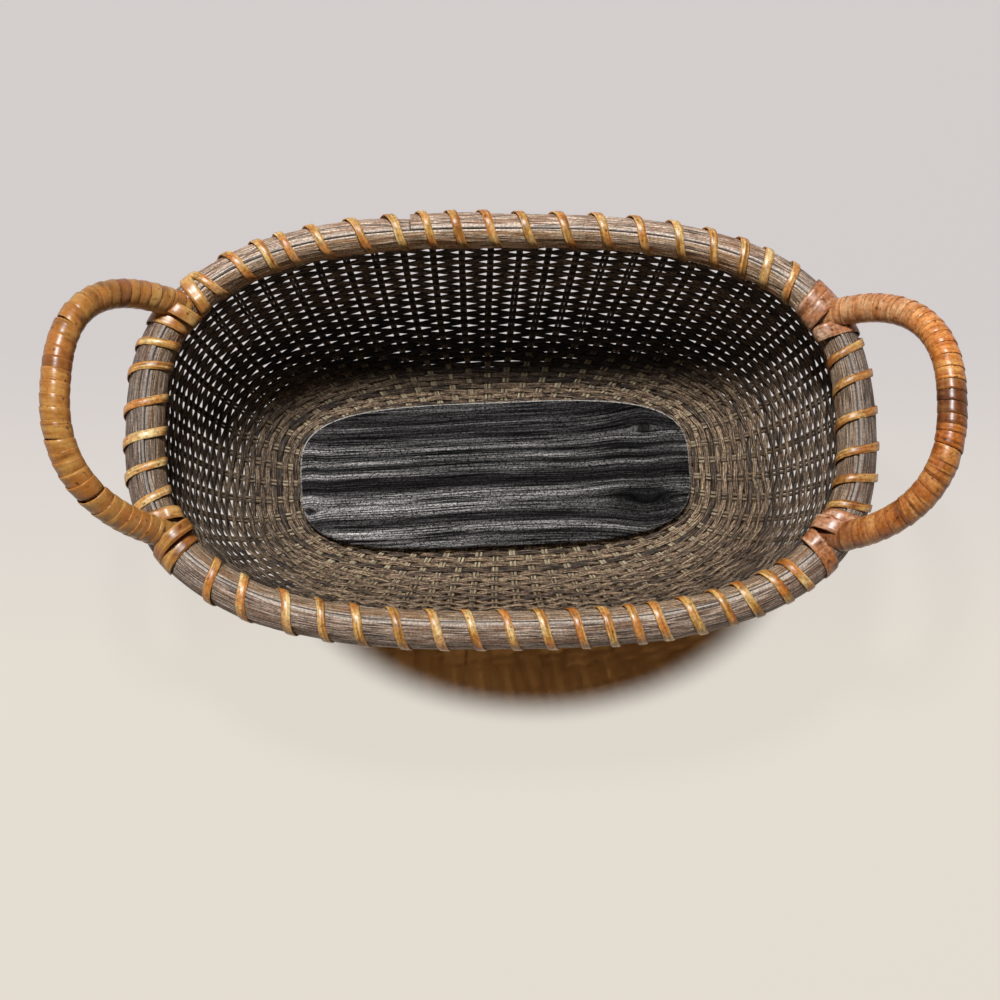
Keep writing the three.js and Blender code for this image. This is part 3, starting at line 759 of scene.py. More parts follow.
def weaver_path(first_row, last_row):
    """A strand that winds round the wall from one row to another, a turn for each."""
    count = round((last_row - first_row) * STAKE_COUNT * WEAVER_STEPS_PER_STAKE) + 1
    turns = np.linspace(first_row, last_row, count)
    height = np.maximum(turns + FIRST_ROW_SHARE, 0) / ROWS_TO_TOP
    places, outs, ups = on_wall(turns, height)
    # The last row is packed up between the hoops
    places += ups * (np.maximum(height - 1, 0) * wall_arc(turns))[:, None]
    swing = np.sin(np.pi * STAKE_COUNT * turns)
    swing = np.sign(swing) * np.abs(swing) ** BULGE_SHARE
    stakes_passed = turns * STAKE_COUNT
    swing *= 1 + SWING_CHANGE * soft_noise(stakes_passed * SWING_CHANGES_PER_STAKE, 0, 31)
    wander = soft_noise(stakes_passed * WANDERS_PER_STAKE, turns * WANDERS_PER_ROW, 32)
    wander *= WEAVER_WANDER
    size = 1 + SIZE_CHANGE * soft_noise(turns * SIZE_CHANGES_PER_ROW, 0, 33)
    cover = np.interp(height, COVER_HEIGHTS, COVER_SHARES)
    closer = np.where(outs[:, 0] > 0, RIGHT_COVER_SHARE, LEFT_COVER_SHARE)
    cover += closer * np.abs(outs[:, 0]) * height
    return {
        "points": places + outs * (WEAVER_SWING * swing)[:, None] + ups * wander[:, None],
        "out": outs,
        "width": wall_arc(turns) / ROWS_TO_TOP * cover * size,
        "thickness": WEAVER_THICKNESS * size,
        "shade": height,
    }


def stained_weaver():
    """Split rod stained dark: brown-black up the wall, worn to olive brown near the board."""
    material, tree, along, across, height = new_material(
        "dark_stained_weavers", "along", "across", "shade"
    )
    spot = add_node(tree, "ShaderNodeCombineXYZ", {0: along, 1: across})
    fibre = stretched_noise(tree, spot, WEAVER_FIBRES, 3.0, roughness=0.6)
    # Each length of rod has a tone of its own
    strand = {0: along, 1: 1 / WEAVER_LENGTH}
    strand = add_node(tree, "ShaderNodeMath", strand, operation="MULTIPLY")
    strand = add_node(tree, "ShaderNodeMath", {0: strand}, operation="FLOOR")
    strand = add_node(tree, "ShaderNodeTexWhiteNoise", {"W": strand}, noise_dimensions="1D")
    tone = {0: strand, 1: 0.14, 2: fibre}
    tone = add_node(tree, "ShaderNodeMath", tone, operation="MULTIPLY_ADD")
    low, high = [
        add_node(tree, "ShaderNodeValToRGB", {0: tone}, stops=tuple(zip(WEAVER_TONE_STOPS, tones)))
        for tones in (
            ("#120D08", "#433327", "#705843", "#B09678"),
            ("#110B07", "#3C2D22", "#655040", "#AD967D"),
        )
    ]
    climb = add_node(tree, "ShaderNodeMapRange", {0: height, 1: 0.3, 2: 0.7})
    mix = {0: climb, 6: low, 7: high}
    colour = add_node(tree, "ShaderNodeMix", mix, output=2, data_type="RGBA")
    bend = {0: fibre, 1: ROD_WAVE_BEND, 2: ROD_WAVE_START}
    bend = add_node(tree, "ShaderNodeMath", bend, operation="MULTIPLY_ADD")
    wave = {0: across, 1: ROD_WAVE, 2: bend}
    wave = add_node(tree, "ShaderNodeMath", wave, operation="MULTIPLY_ADD")
    for operation in ("SINE", "ABSOLUTE"):
        wave = add_node(tree, "ShaderNodeMath", {0: wave}, operation=operation)
    # Painted shade low down, at the back of the bowl and at its left end, where the rim and the
    # wall keep the lamp off
    place = add_node(tree, "ShaderNodeTexCoord", output="Object")
    part = add_node(tree, "ShaderNodeSeparateXYZ", {0: place}).node.outputs
    left, back, above = [
        add_node(tree, "ShaderNodeMapRange", dict(enumerate(zone)))
        for zone in (
            (part[0], -118 * MM, -96 * MM, 0.66, 1.0),
            (part[1], 49 * MM, 60 * MM, 1.0, 0.16),
            (part[2], 26 * MM, 62 * MM, 0.0, 1.0),
        )
    ]
    painted_shade = add_node(tree, "ShaderNodeMath", {0: back, 1: left}, operation="MULTIPLY")
    painted_shade = add_node(tree, "ShaderNodeMath", {0: painted_shade, 1: above}, operation="MAXIMUM")
    grain = {"Vector": place, "Scale": 1 / WEAVER_GRAIN, "Detail": 2.0}
    grain = add_node(tree, "ShaderNodeTexNoise", grain)
    edge = add_node(tree, "ShaderNodeMath", {0: across}, operation="ABSOLUTE")
    colour = toned(
        tree,
        colour,
        # Painted shade in the gaps between the fine rods
        (wave, 0.0, 0.45, 0.15, 1.0),
        painted_shade,
        (grain, 0.35, 0.65, 0.4, 1.6),
        # Painted shade along each weaver's edges, where it meets the rows beside it
        (edge, 0.6, 1.0, 1.0, 0.3),
    )
    set_surface(tree, colour, 0.58, fibre, 0.9, 0.8 * MM)
    return material


weaver_finish = stained_weaver()
for name, first_row, last_row in (
    ("lower_weavers", -1, MIDDLE_ROW),
    ("upper_weavers", MIDDLE_ROW, WEAVE_ROWS + ROWS_IN_RIM),
):
    path = weaver_path(first_row, last_row)
    weavers = strand_piece(name, [path], WEAVER_SIDES, WEAVER_ROUNDNESS, weaver_finish)
    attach(weavers, "root")
    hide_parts("woven_wall")


# Rim hoops.
# Two half-round saplings with the bark left on, bent round the top of the wall, flat faces
# together over the stake tips. The outer one's ends lap, and its blunt end shows at the back.
HOOP_WIDTH = 8.2 * MM
HOOP_HALF_HEIGHT = 8 * MM
HOOP_STEPS = 640
HOOP_POINTS = 46
# The section's round side is a little fuller than a half circle, and its flat side narrower
HOOP_ROUND_POWER = 0.85
HOOP_FLAT_SHARE = 0.6
# Each hoop stands a little off the seam, and more from this sine of the angle down to its foot
HOOP_GAP = 0.2 * MM
HOOP_FOOT_GAP = 1.4 * MM
HOOP_LEAN_SINE = 0.4
# The seam lies further in at the front and the back. The outer hoop is thicker at the ends and
# thinner at the back, and both hoops swell a little here and there.
SEAM_SHIFT = 2.7 * MM
END_SWELL = 1.3 * MM
BACK_SLIM = 1.6 * MM
SWELL_SHARE = 0.035
SWELLS_PER_TURN = 37
OUTER_RISE = 0.5 * MM
# Where the outer hoop's ends lap, the upper one is lifted and the under one is sunk and thinned.
# The shares say over how much of the lap each comes in.
LAP_LENGTH = 46 * MM
LAP_LIFT = 0.7 * MM
LAP_LIFT_SHARE = 0.25
LAP_SUNK = 1.6 * MM
LAP_SUNK_SHARE = 1.5
# Width of the painted shade in the step beyond the lap's blunt end
LAP_STEP_SHADE_WIDTH = 1.1 * MM
OUTER_LAP_SHARE = 0.298
INNER_LAP_SHARE = 0.815
# The bark's ridges: share of the height, length along the stem and number in a radian round it
BARK_RIDGE = 0.32 * MM
BARK_WAVES = ((0.5, 30 * MM, 5.2), (0.6, 14 * MM, 12), (0.4, 6 * MM, 20))
BARK_FADE_POWER = 0.3
BARK_GRAIN = 1.1 * MM
# Patterns to the metre along the stem, and to the radian round it
BARK_LINES = (58, 18, 1)
BARK_PATCHES = (34, 2.2, 1)
BARK_CRACKS = (26, 16, 1)
RIM_SAMPLES = 2400

RIM_TABLE, RIM_OUT_TABLE, RIM_LENGTH = rim_stations(RIM_SAMPLES)


def on_rim(share):
    """The rim's mid-line and its outward direction at shares of its length from +X."""
    place = np.mod(share, 1) * RIM_SAMPLES
    low = np.floor(place).astype(int) % RIM_SAMPLES
    high = (low + 1) % RIM_SAMPLES
    part = (place - np.floor(place))[:, None]
    points = RIM_TABLE[low] * (1 - part) + RIM_TABLE[high] * part
    outs = unit(RIM_OUT_TABLE[low] * (1 - part) + RIM_OUT_TABLE[high] * part)
    level = np.full(len(points), RIM_Z)
    return np.column_stack([points, level]), np.column_stack([outs, level * 0])


def rim_swell(outs):
    """How much further than its mean the outer hoop reaches: more at the ends, less at the back."""
    return END_SWELL * np.abs(outs[..., 0]) - BACK_SLIM * np.clip(outs[..., 1], 0, 1)


def make_hoop(name, side, lap_share, seed, material):
    """A half-round hoop, outside the seam or inside it, from its lap once round to its lap."""
    outer = side > 0
    lap = LAP_LENGTH / RIM_LENGTH
    share = np.linspace(lap_share - lap if outer else lap_share, lap_share + 1, HOOP_STEPS)
    middle, outs = on_rim(share)
    angle = np.linspace(-math.pi / 2, math.pi / 2, HOOP_POINTS)
    round_side = np.cos(angle)
    swell = 1 + SWELL_SHARE * soft_noise(share * SWELLS_PER_TURN, 0, seed)
    lean = np.clip(HOOP_LEAN_SINE - np.sin(angle), 0, 1)
    lean = HOOP_GAP + (HOOP_FOOT_GAP - HOOP_GAP) * lean
    points = []
    for i in range(HOOP_STEPS):
        far = share[i] * RIM_LENGTH
        ridge = sum(
            depth * soft_noise(far / length, angle * count, wave_seed)
            for wave_seed, (depth, length, count) in enumerate(BARK_WAVES, seed + 1)
        )
        ridge = BARK_RIDGE * ridge * round_side**BARK_FADE_POWER
        shift = SEAM_SHIFT * abs(outs[i][1])
        width = HOOP_WIDTH * swell[i] + side * shift
        lift = 0
        if outer:
            under = np.clip((share[i] - share[0]) / lap / LAP_SUNK_SHARE, 0, 1)
            over = np.clip((share[i] - share[-1] + lap) / lap, 0, 1)
            width = (width + rim_swell(outs[i])) * (1 + under) / 2
            lift = LAP_LIFT * np.clip(over / LAP_LIFT_SHARE, 0, 1)
            ridge = ridge - (1 - under) * LAP_SUNK
        across = lean + width * round_side**HOOP_ROUND_POWER + (ridge + lift) * round_side
        rise = (HOOP_HALF_HEIGHT + side * OUTER_RISE + ridge + lift / 2) * np.sin(angle)
        across = np.append(across, [HOOP_GAP, HOOP_FOOT_GAP])
        rise = np.append(rise, np.array([1, -1]) * HOOP_HALF_HEIGHT * HOOP_FLAT_SHARE)
        out = outs[i] * (side * across - shift)[:, None]
        points.append(middle[i] + out + np.array((0, 0, 1)) * rise[:, None])
    size = HOOP_POINTS + 2
    faces = []
    for start in range(0, (HOOP_STEPS - 1) * size, size):
        for j in range(size):
            k = (j + 1) % size
            faces.append((start + j, start + k, start + size + k, start + size + j))
    faces += [tuple(range(size))[::-1], tuple(range((HOOP_STEPS - 1) * size, HOOP_STEPS * size))]
    if outer:
        faces = [face[::-1] for face in faces]
    hoop = new_piece(name, np.vstack(points), faces, material)
    # Painted shade in the step beyond the blunt end of the outer hoop's lap
    lap_step_shade = np.exp(-(((share - lap_share) * RIM_LENGTH / LAP_STEP_SHADE_WIDTH) ** 2)) * outer
    tables = {
        "along": np.repeat(share * RIM_LENGTH, size),
        "around": np.tile(np.append(angle, [math.pi / 2, -math.pi / 2]), HOOP_STEPS),
        "lap_step_shade": np.repeat(lap_step_shade, size),
    }
    store_values(hoop.data, tables)
    return hoop


def ridged_bark(name, dark, middle, pale, warm, painted_low_light):
    """Thin dry bark: matt, in fine ridges along the stem, greyed on top and brown between. The
    painted low light makes it paler low on the back of the rim, as painted light on the face that
    the lamp behind leaves in shade."""
    material, tree, along, around, lap_step_shade = new_material(name, "along", "around", "lap_step_shade")
    spot = add_node(tree, "ShaderNodeCombineXYZ", {0: along, 1: around})
    ridges = stretched_noise(tree, spot, BARK_LINES, 5.0, roughness=0.7, distortion=0.3)
    patch = stretched_noise(tree, spot, BARK_PATCHES, 2.0)
    splits = stretched_noise(tree, spot, BARK_CRACKS, 1.0)
    # The palest streaks stand partly for sheen on the bark, painted in
    stops = ((0.42, dark), (0.48, middle), (0.55, pale), (0.62, "#EBD8C6"))
    colour = add_node(tree, "ShaderNodeValToRGB", {0: ridges}, stops=stops)
    # Patches are warm brown, and the edge along the seam is paler
    blotch = add_node(tree, "ShaderNodeMapRange", {0: patch, 1: 0.46, 2: 0.62, 4: 0.6})
    rubbed = add_node(tree, "ShaderNodeMapRange", {0: around, 1: 1.42, 2: 1.5, 4: 0.7})
    for share, tone in ((blotch, warm), (rubbed, "#D5C6B8")):
        mix = {0: share, 6: colour, 7: linear(tone)}
        colour = add_node(tree, "ShaderNodeMix", mix, output=2, data_type="RGBA")
    place = add_node(tree, "ShaderNodeTexCoord", output="Object")
    part = add_node(tree, "ShaderNodeSeparateXYZ", {0: place}).node.outputs
    end = add_node(tree, "ShaderNodeMath", {0: part[0]}, operation="ABSOLUTE")
    grain = {"Vector": place, "Scale": 1 / BARK_GRAIN, "Detail": 2.0}
    grain = add_node(tree, "ShaderNodeTexNoise", grain)
    back = {0: part[1], 1: 0.1 * RIM_HALF_WIDTH, 2: 0.8 * RIM_HALF_WIDTH}
    back = add_node(tree, "ShaderNodeMapRange", back)
    # Painted light low on the back of the rim, where the lower face is in the lamp's shade
    low = add_node(tree, "ShaderNodeMapRange", {0: around, 1: 0.75, 2: 0.25})
    low = add_node(tree, "ShaderNodeMath", {0: low, 1: back}, operation="MULTIPLY")
    colour = toned(
        tree,
        colour,
        # The back is paler, partly bleached and partly painted light, and the ends are dusky
        (part[1], 0.3 * RIM_HALF_WIDTH, RIM_HALF_WIDTH, 1.0, 1.5),
        (end, 0.75 * RIM_HALF_LENGTH, RIM_HALF_LENGTH, 1.0, 0.54),
        # Painted shade in the step at the lap and in the crease at the seam, and dark in fine
        # splits and in patches
        (lap_step_shade, 0.2, 0.8, 1.0, 0.08),
        (splits, 0.32, 0.4, 0.15, 1.0),
        (patch, 0.35, 0.5, 0.82, 1.0),
        (around, 1.54, 1.57, 1.0, 0.5),
        # Fine grain all over, and painted light low on the back
        (grain, 0.35, 0.65, 0.68, 1.3),
        (low, 0.0, 1.0, 1.0, painted_low_light),
    )
    set_surface(tree, colour, 0.52, ridges, 0.9, 0.8 * MM)
    return material


grey_bark = ridged_bark("grey_ridged_bark", "#33241A", "#8E735F", "#CDB39D", "#7E5636", 1.0)
tan_bark = ridged_bark("tan_ridged_bark", "#3B2B1D", "#947457", "#CBAE8C", "#8A5D32", 2.2)
for name, node, slot, side, lap_share, seed, material in (
    ("outer_hoop", "rim_outer_hoop", "outer_bark", 1, OUTER_LAP_SHARE, 41, grey_bark),
    ("inner_hoop", "rim_inner_hoop", "inner_bark", -1, INNER_LAP_SHARE, 51, tan_bark),
):
    hoop = make_hoop(name, side, lap_share, seed, material)
    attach(hoop, "root")
    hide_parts(node)


# Rim lashing.
# A narrow strip of glossy cane is wound round both hoops and through the wall below them, in four
# runs between the handle roots. Each turn slants over the top of the rim.
LASHING_WIDTH = 4.3 * MM
LASHING_WIDTH_CHANGE = 0.08
WIDTH_CHANGES_PER_TURN = 1.3
TONE_CHANGES_PER_TURN = 0.8
LASHING_THICKNESS = 0.8 * MM
LASHING_LIFT = 0.55 * MM
LASHING_STEPS = 28
LASHING_SIDES = 8
STRIP_ROUNDNESS = 0.55
SECTION_SQUARE_SHARE = 2.3
# Patterns to the metre along the cane, and across half of it: fine lines about 22 mm long, clouds
# about 17 mm and specks about 3 mm
CANE_LINES = (45, 2.5, 0)
CANE_CLOUDS = (60, 0.5, 0)
CANE_SPECKS = (330, 1.6, 0)
PATCH_SIZE = 11 * MM
PIT_SIZE = 1.6 * MM
ROOT_TURN_SHARES = {
    "right_back": 0.0514,
    "left_back": 0.4417,
    "left_front": 0.5508,
    "right_front": 0.9433,
}
# Where each turn crosses the top of the rim in the photograph, in pixels from the left or the top
BACK_TURNS_X = (205, 237, 264, 285, 317, 358, 396, 427, 456, 489, 525, 564, 603, 641, 679, 714)
BACK_TURNS_X += (745, 768, 793)
FRONT_TURNS_X = (797, 778, 748, 725, 693, 660, 636, 609, 579, 545, 509, 472, 436, 397, 357, 321)
FRONT_TURNS_X += (286, 241, 211)
LEFT_TURNS_Y = (498, 467, 435, 402, 365, 342)
RIGHT_TURNS_Y = (350, 378, 415, 450, 478, 505)
PHOTO_PIXELS = 1000
RUN_SAMPLES = 600
# Each run: its names, the part of the rim it lies in, and its turns along X or Y
LASHING_RUNS = (
    ("back_lashing", "back_rim_lashing", 0.05, 0.45, 0, BACK_TURNS_X),
    ("left_lashing", "left_rim_lashing", 0.4, 0.6, 1, LEFT_TURNS_Y),
    ("front_lashing", "front_rim_lashing", 0.55, 0.95, 0, FRONT_TURNS_X),
    ("right_lashing", "right_rim_lashing", 0.9, 1.1, 1, RIGHT_TURNS_Y),
)


def rim_share_at(turn_share):
    """The share of the rim's length at which its mid-line has gone a share of a full turn."""
    turn = np.mod(np.arctan2(RIM_TABLE[:, 1], RIM_TABLE[:, 0]) / (2 * math.pi), 1)
    return float(np.interp(turn_share, turn, np.arange(len(turn)) / len(turn)))


ROOT_SHARES = {name: rim_share_at(turn) for name, turn in ROOT_TURN_SHARES.items()}


def signed_power(values, power):
    """Values raised to a power, with their signs kept."""
    return np.sign(values) * np.abs(values) ** power


def round_rim(share, angle, lift):
    """Points on the rim's outside, and the outward direction there. The angle goes from 0,
    outside, over 90 degrees, on top, to 180, inside."""
    middle, outs = on_rim(share)
    power = 2 / SECTION_SQUARE_SHARE
    cosine = signed_power(np.cos(angle), power)
    sine = signed_power(np.sin(angle), power)
    swell = np.where(cosine > 0, rim_swell(outs), 0)
    # The cane rides over the outer hoop's lap, which stands up a little
    from_lap = (1 - np.mod(share - OUTER_LAP_SHARE, 1)) * RIM_LENGTH
    on_lap = np.clip((1 - from_lap / LAP_LENGTH) / LAP_LIFT_SHARE, 0, 1)
    lift = lift + LAP_LIFT * on_lap * np.clip(2 * cosine + 1, 0, 1)
    across = ((RIM_HALF_SECTION + swell + lift) * cosine)[:, None]
    rise = ((HOOP_HALF_HEIGHT + lift) * sine)[:, None]
    up = np.array((0, 0, 1))
    normal_x = signed_power(np.cos(angle), 2 - power)[:, None] / RIM_HALF_SECTION
    normal_z = signed_power(np.sin(angle), 2 - power)[:, None] / HOOP_HALF_HEIGHT
    return middle + outs * across + up * rise, unit(outs * normal_x + up * normal_z)


def in_photo(points):
    """Where points stand in the photograph, in pixels from its left and top."""
    ray = points - np.array(CAMERA_PLACE)
    depth = -(ray @ np.array(CAMERA_BACK))
    scale = PHOTO_PIXELS * CAMERA_LENS_MM / SENSOR_MM / depth
    across = ray @ np.array(CAMERA_RIGHT) * scale
    down = -(ray @ np.array(CAMERA_UP)) * scale
    return np.column_stack([across, down]) + PHOTO_PIXELS / 2


def lashing_path(from_share, to_share, axis, crossings, seed):
    """One run. It goes clockwise, seen from above, so that its turns slant the right way."""
    shares = np.linspace(from_share, to_share, RUN_SAMPLES)
    middle, _ = on_rim(shares)
    seen = in_photo(middle + (0, 0, HOOP_HALF_HEIGHT))[:, axis]
    order = np.argsort(seen)
    places = np.sort(np.interp(crossings, seen[order], shares[order]))[::-1]
    loops = len(places)
    # The run starts and ends half a turn beyond its first and last crossing
    first = 1.5 * places[0] - 0.5 * places[1]
    last = 1.5 * places[-1] - 0.5 * places[-2]
    marks = np.concatenate([[0], np.arange(loops) + 0.5, [loops]])
    turns = np.linspace(0, loops, loops * LASHING_STEPS + 1)
    share = np.interp(turns, marks, np.concatenate([[first], places, [last]]))
    points, normals = round_rim(share, 2 * math.pi * turns - math.pi / 2, LASHING_LIFT)
    width_change = soft_noise(turns * WIDTH_CHANGES_PER_TURN, 0, seed + 1)
    return {
        "points": points,
        "out": normals,
        "width": LASHING_WIDTH * (1 + LASHING_WIDTH_CHANGE * width_change),
        "thickness": LASHING_THICKNESS,
        "shade": soft_noise(turns * TONE_CHANGES_PER_TURN, 0, seed + 2),
        "start": seed * 0.7,
    }


def glossy_cane(name, dark, middle, pale, warm, speck, wear, tints=()):
    """The skin of rattan cane: hard, with a soft gloss, honey to orange, fine lines along it, and
    small dark specks where the skin is marked. The tints, if any, follow the strand's shade."""
    material, tree, along, across, shade = new_material(name, "along", "across", "shade")
    spot = add_node(tree, "ShaderNodeCombineXYZ", {0: along, 1: across, 2: shade})
    lines = stretched_noise(tree, spot, CANE_LINES, 3.0)
    cloud = stretched_noise(tree, spot, CANE_CLOUDS, 2.0)
    specks = stretched_noise(tree, spot, CANE_SPECKS, 1.0)
    tone = add_node(tree, "ShaderNodeMath", {0: cloud, 1: lines}, operation="ADD")
    tone = add_node(tree, "ShaderNodeMath", {0: tone, 1: 0.5}, operation="MULTIPLY")
    tone = add_node(tree, "ShaderNodeMath", {0: shade, 1: 0.05, 2: tone}, operation="MULTIPLY_ADD")
    stops = ((0.39, dark), (0.49, middle), (0.6, pale))
    colour = add_node(tree, "ShaderNodeValToRGB", {0: tone}, stops=stops)
    place = add_node(tree, "ShaderNodeTexCoord", output="Object")
    patch = {"Vector": place, "Scale": 1 / PATCH_SIZE, "Detail": 3.0}
    patch = add_node(tree, "ShaderNodeTexNoise", patch)
    patch = add_node(tree, "ShaderNodeMapRange", {0: patch, 1: 0.45, 2: 0.62, 4: 0.65})
    mix = {0: patch, 6: colour, 7: linear(warm)}
    colour = add_node(tree, "ShaderNodeMix", mix, output=2, data_type="RGBA")
    if tints:
        tint = add_node(tree, "ShaderNodeValToRGB", {0: shade}, stops=tints)
        mix = {0: 1.0, 6: colour, 7: tint}
        colour = add_node(
            tree, "ShaderNodeMix", mix, output=2, data_type="RGBA", blend_type="MULTIPLY"
        )
    specks = add_node(tree, "ShaderNodeMapRange", {0: specks, 1: 0.66, 2: 0.74, 4: 0.8})
    mix = {0: specks, 6: colour, 7: linear(speck)}
    colour = add_node(tree, "ShaderNodeMix", mix, output=2, data_type="RGBA")
    # Handling has worn the skin in fine pits, more on one cane than on another
    pits = {"Vector": place, "Scale": 1 / PIT_SIZE, "Detail": 3.0}
    pits = add_node(tree, "ShaderNodeTexNoise", pits)
    colour = toned(tree, colour, (pits, 0.36, 0.6, 1 - wear, 1 + wear / 3))
    set_surface(tree, colour, 0.34, lines, 0.4, 0.4 * MM, specular=0.55)
    return material


honey_cane = glossy_cane("honey_cane", "#94602A", "#D09C50", "#F0D294", "#C66E28", "#5A3010", 0.35)
amber_cane = glossy_cane("amber_cane", "#744419", "#B47C3A", "#DCB06C", "#A65C24", "#4A2810", 0.45)
for seed, (name, node, from_share, to_share, axis, crossings) in enumerate(LASHING_RUNS, 61):
    path = lashing_path(from_share, to_share, axis, crossings, seed)
    finish = amber_cane if name == "right_lashing" else honey_cane
    lashing = strand_piece(name, [path], LASHING_SIDES, STRIP_ROUNDNESS, finish)
    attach(lashing, "root")
    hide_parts(node)


# Handles.
# Each is a bent rod bound from root to root with a wide strip of cane, every turn lapping the one
# before, so that the turns' edges stand up as thin ridges.
HANDLE_REACH = 66 * MM
HANDLE_TILT = math.radians(41)
HANDLE_ABOVE_RIM = 3 * MM
HANDLE_SQUARE_SHARE = 2.5
HANDLE_ROOT_REACH = 4.6 * MM
HANDLE_ROD_RADIUS = 5.7 * MM
HANDLE_SAMPLES = 1200
ROOT_SAMPLES = 20
WRAP_WIDTH = 8.2 * MM
WRAP_THICKNESS = 0.9 * MM
WRAP_LAP_RISE = 0.6 * MM
WRAP_STEPS = 22
WRAP_SIDES = 10
WRAP_ROUNDNESS = 0.6
WRAP_PITCH_SWING = 0.35
PITCH_SWINGS_PER_TURN = 0.55
TINT_WANDER = 0.012
TINT_WANDERS_PER_TURN = 0.7
# At each end the wrap stops short of the rod's end by this share of its length
WRAP_END_SHARE = 0.005
# Each handle: its side, the roots it starts and ends at, how far it leans to the back as a share
# of its reach, and its wrap's number of turns
HANDLES = (
    ("left", "left_back", "left_front", 0.09, 34),
    ("right", "right_front", "right_back", 0.045, 38),
)
# Tints along each wrap, as shares of its length from the root that is named first. The left
# handle is stained in two places. The right one is dark at its first root and in its middle,
# orange on both sides of the middle, and pink near its last root.
LEFT_TINTS = (
    (0.18, "#FFFFFF"),
    (0.205, "#BC9C90"),
    (0.235, "#F4FAF4"),
    (0.42, "#FFF4E4"),
    (0.445, "#A08078"),
    (0.48, "#FFF0D8"),
    (1.0, "#F2F2EC"),
)
RIGHT_TINTS = (
    (0.03, "#A88C88"),
    (0.12, "#E8C8A4"),
    (0.34, "#E6BE90"),
    (0.43, "#E0A868"),
    (0.47, "#9C7C5C"),
    (0.53, "#8A6E58"),
    (0.56, "#FFE0AC"),
    (0.63, "#FFC888"),
    (0.72, "#FFD8B0"),
    (0.78, "#F4DCD2"),
    (1.0, "#EEDAD2"),
)
AGED_TONES = ("#845426", "#B27A3A", "#CC9C58", "#B87030", "#5E2E10")
RUSTY_TONES = ("#8A5C36", "#CE965A", "#F2CC98", "#C8864C", "#4A2210")


def handle_line(start_name, end_name, lean_share):
    """A handle's centre-line, root to root, and the direction square to the plane it lies in."""
    roots, _ = on_rim(np.array([ROOT_SHARES[start_name], ROOT_SHARES[end_name]]))
    middle = roots.mean(0) + (0, 0, HANDLE_ABOVE_RIM)
    chord = roots[1] - roots[0]
    half = np.linalg.norm(chord) / 2
    along = chord / (2 * half)
    out = np.array((along[1], -along[0], 0)) * math.cos(HANDLE_TILT)
    out += (0, lean_share, math.sin(HANDLE_TILT))
    angle = np.linspace(-math.pi / 2, math.pi / 2, HANDLE_SAMPLES)
    power = 2 / HANDLE_SQUARE_SHARE
    across = half * signed_power(np.sin(angle), power)
    reach = HANDLE_REACH * np.abs(np.cos(angle)) ** power
    points = middle + along * across[:, None] + out * reach[:, None]
    # Past the rim's mid-line each end goes on, over the rim, to its inner edge
    tail = out * np.linspace(HANDLE_ROOT_REACH, 0, ROOT_SAMPLES, endpoint=False)[:, None]
    points = np.vstack([points[0] - tail, points, points[-1] - tail[::-1]])
    return points, unit(np.cross(along, out))


def resample(points, shares):
    """The points at given shares of a line's length."""
    arc = np.concatenate([[0], np.cumsum(np.linalg.norm(np.diff(points, axis=0), axis=1))])
    place = shares * arc[-1]
    return np.column_stack([np.interp(place, arc, points[:, i]) for i in range(3)])


def wrap_path(line, square, turns, seed):
    """The strip's middle line round the rod. It leans, so that its edge lies on the turn before."""
    turn = np.linspace(0, turns, turns * WRAP_STEPS + 1)
    uneven = turn + WRAP_PITCH_SWING * soft_noise(turn * PITCH_SWINGS_PER_TURN, 0, seed + 3)
    share = np.clip(uneven / turns, 0, 1) * (1 - 2 * WRAP_END_SHARE) + WRAP_END_SHARE
    forward = unit(np.gradient(resample(line, turn / turns), axis=0))
    angle = 2 * math.pi * turn
    radial = np.cross(forward, square) * np.cos(angle)[:, None] + square * np.sin(angle)[:, None]
    lap = math.atan2(WRAP_LAP_RISE, WRAP_WIDTH)
    wander = TINT_WANDER * soft_noise(turn * TINT_WANDERS_PER_TURN, 0, seed)
    return {
        "points": resample(line, share) + radial * (HANDLE_ROD_RADIUS + WRAP_THICKNESS),
        "out": radial * math.cos(lap) + forward * math.sin(lap),
        "width": WRAP_WIDTH,
        "thickness": WRAP_THICKNESS,
        "shade": turn / turns + wander,
        "start": seed * 0.9,
    }


wrap_finish = {
    "left": glossy_cane("aged_honey_cane", *AGED_TONES, 0.16, LEFT_TINTS),
    "right": glossy_cane("rusty_cane", *RUSTY_TONES, 0.3, RIGHT_TINTS),
}
for seed, (name, start_name, end_name, lean_share, turns) in enumerate(HANDLES, 71):
    path = wrap_path(*handle_line(start_name, end_name, lean_share), turns, seed)
    wrap = strand_piece(f"{name}_cane_wrap", [path], WRAP_SIDES, WRAP_ROUNDNESS, wrap_finish[name])
    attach(wrap, "root")
    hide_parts(f"{name}_handle_wrap")
    # The rod inside, which shows at its ends only, keeps its CAD shape
    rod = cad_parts[f"{name}_handle_core"]
    rod.data.materials.clear()
    rod.data.materials.append(wrap_finish[name])


# Root lashings.
# Broad cane straps bind each handle's root to the rim. They fan out on the outside and draw
# together inside, where they are tucked under one another.
STRAP_WIDTHS = {"left": 6.6 * MM, "right": 8 * MM}
STRAP_THICKNESS = 1.0 * MM
STRAP_STEPS = 40
STRAP_SIDES = 10
STRAP_TONE_CHANGES_PER_TURN = 0.9
# Each strap's place along the rim, from the middle of the root, outside and inside the rim
STRAPS_MM = ((-11.5, -6), (7, 1.5), (12.5, 8))
STRAP_COUNT = len(STRAPS_MM)
# A strap lies on the handle's end: how high and how far to each side, and how much of that height
# at each of these parts of a turn
HANDLE_COVER = 4.2 * MM
HANDLE_COVER_HALF = 8.4 * MM
COVER_TURN_PARTS = (0.36, 0.5, 0.68, 0.8)
COVER_TURN_SHARES = (0, 1, 0.8, 0)


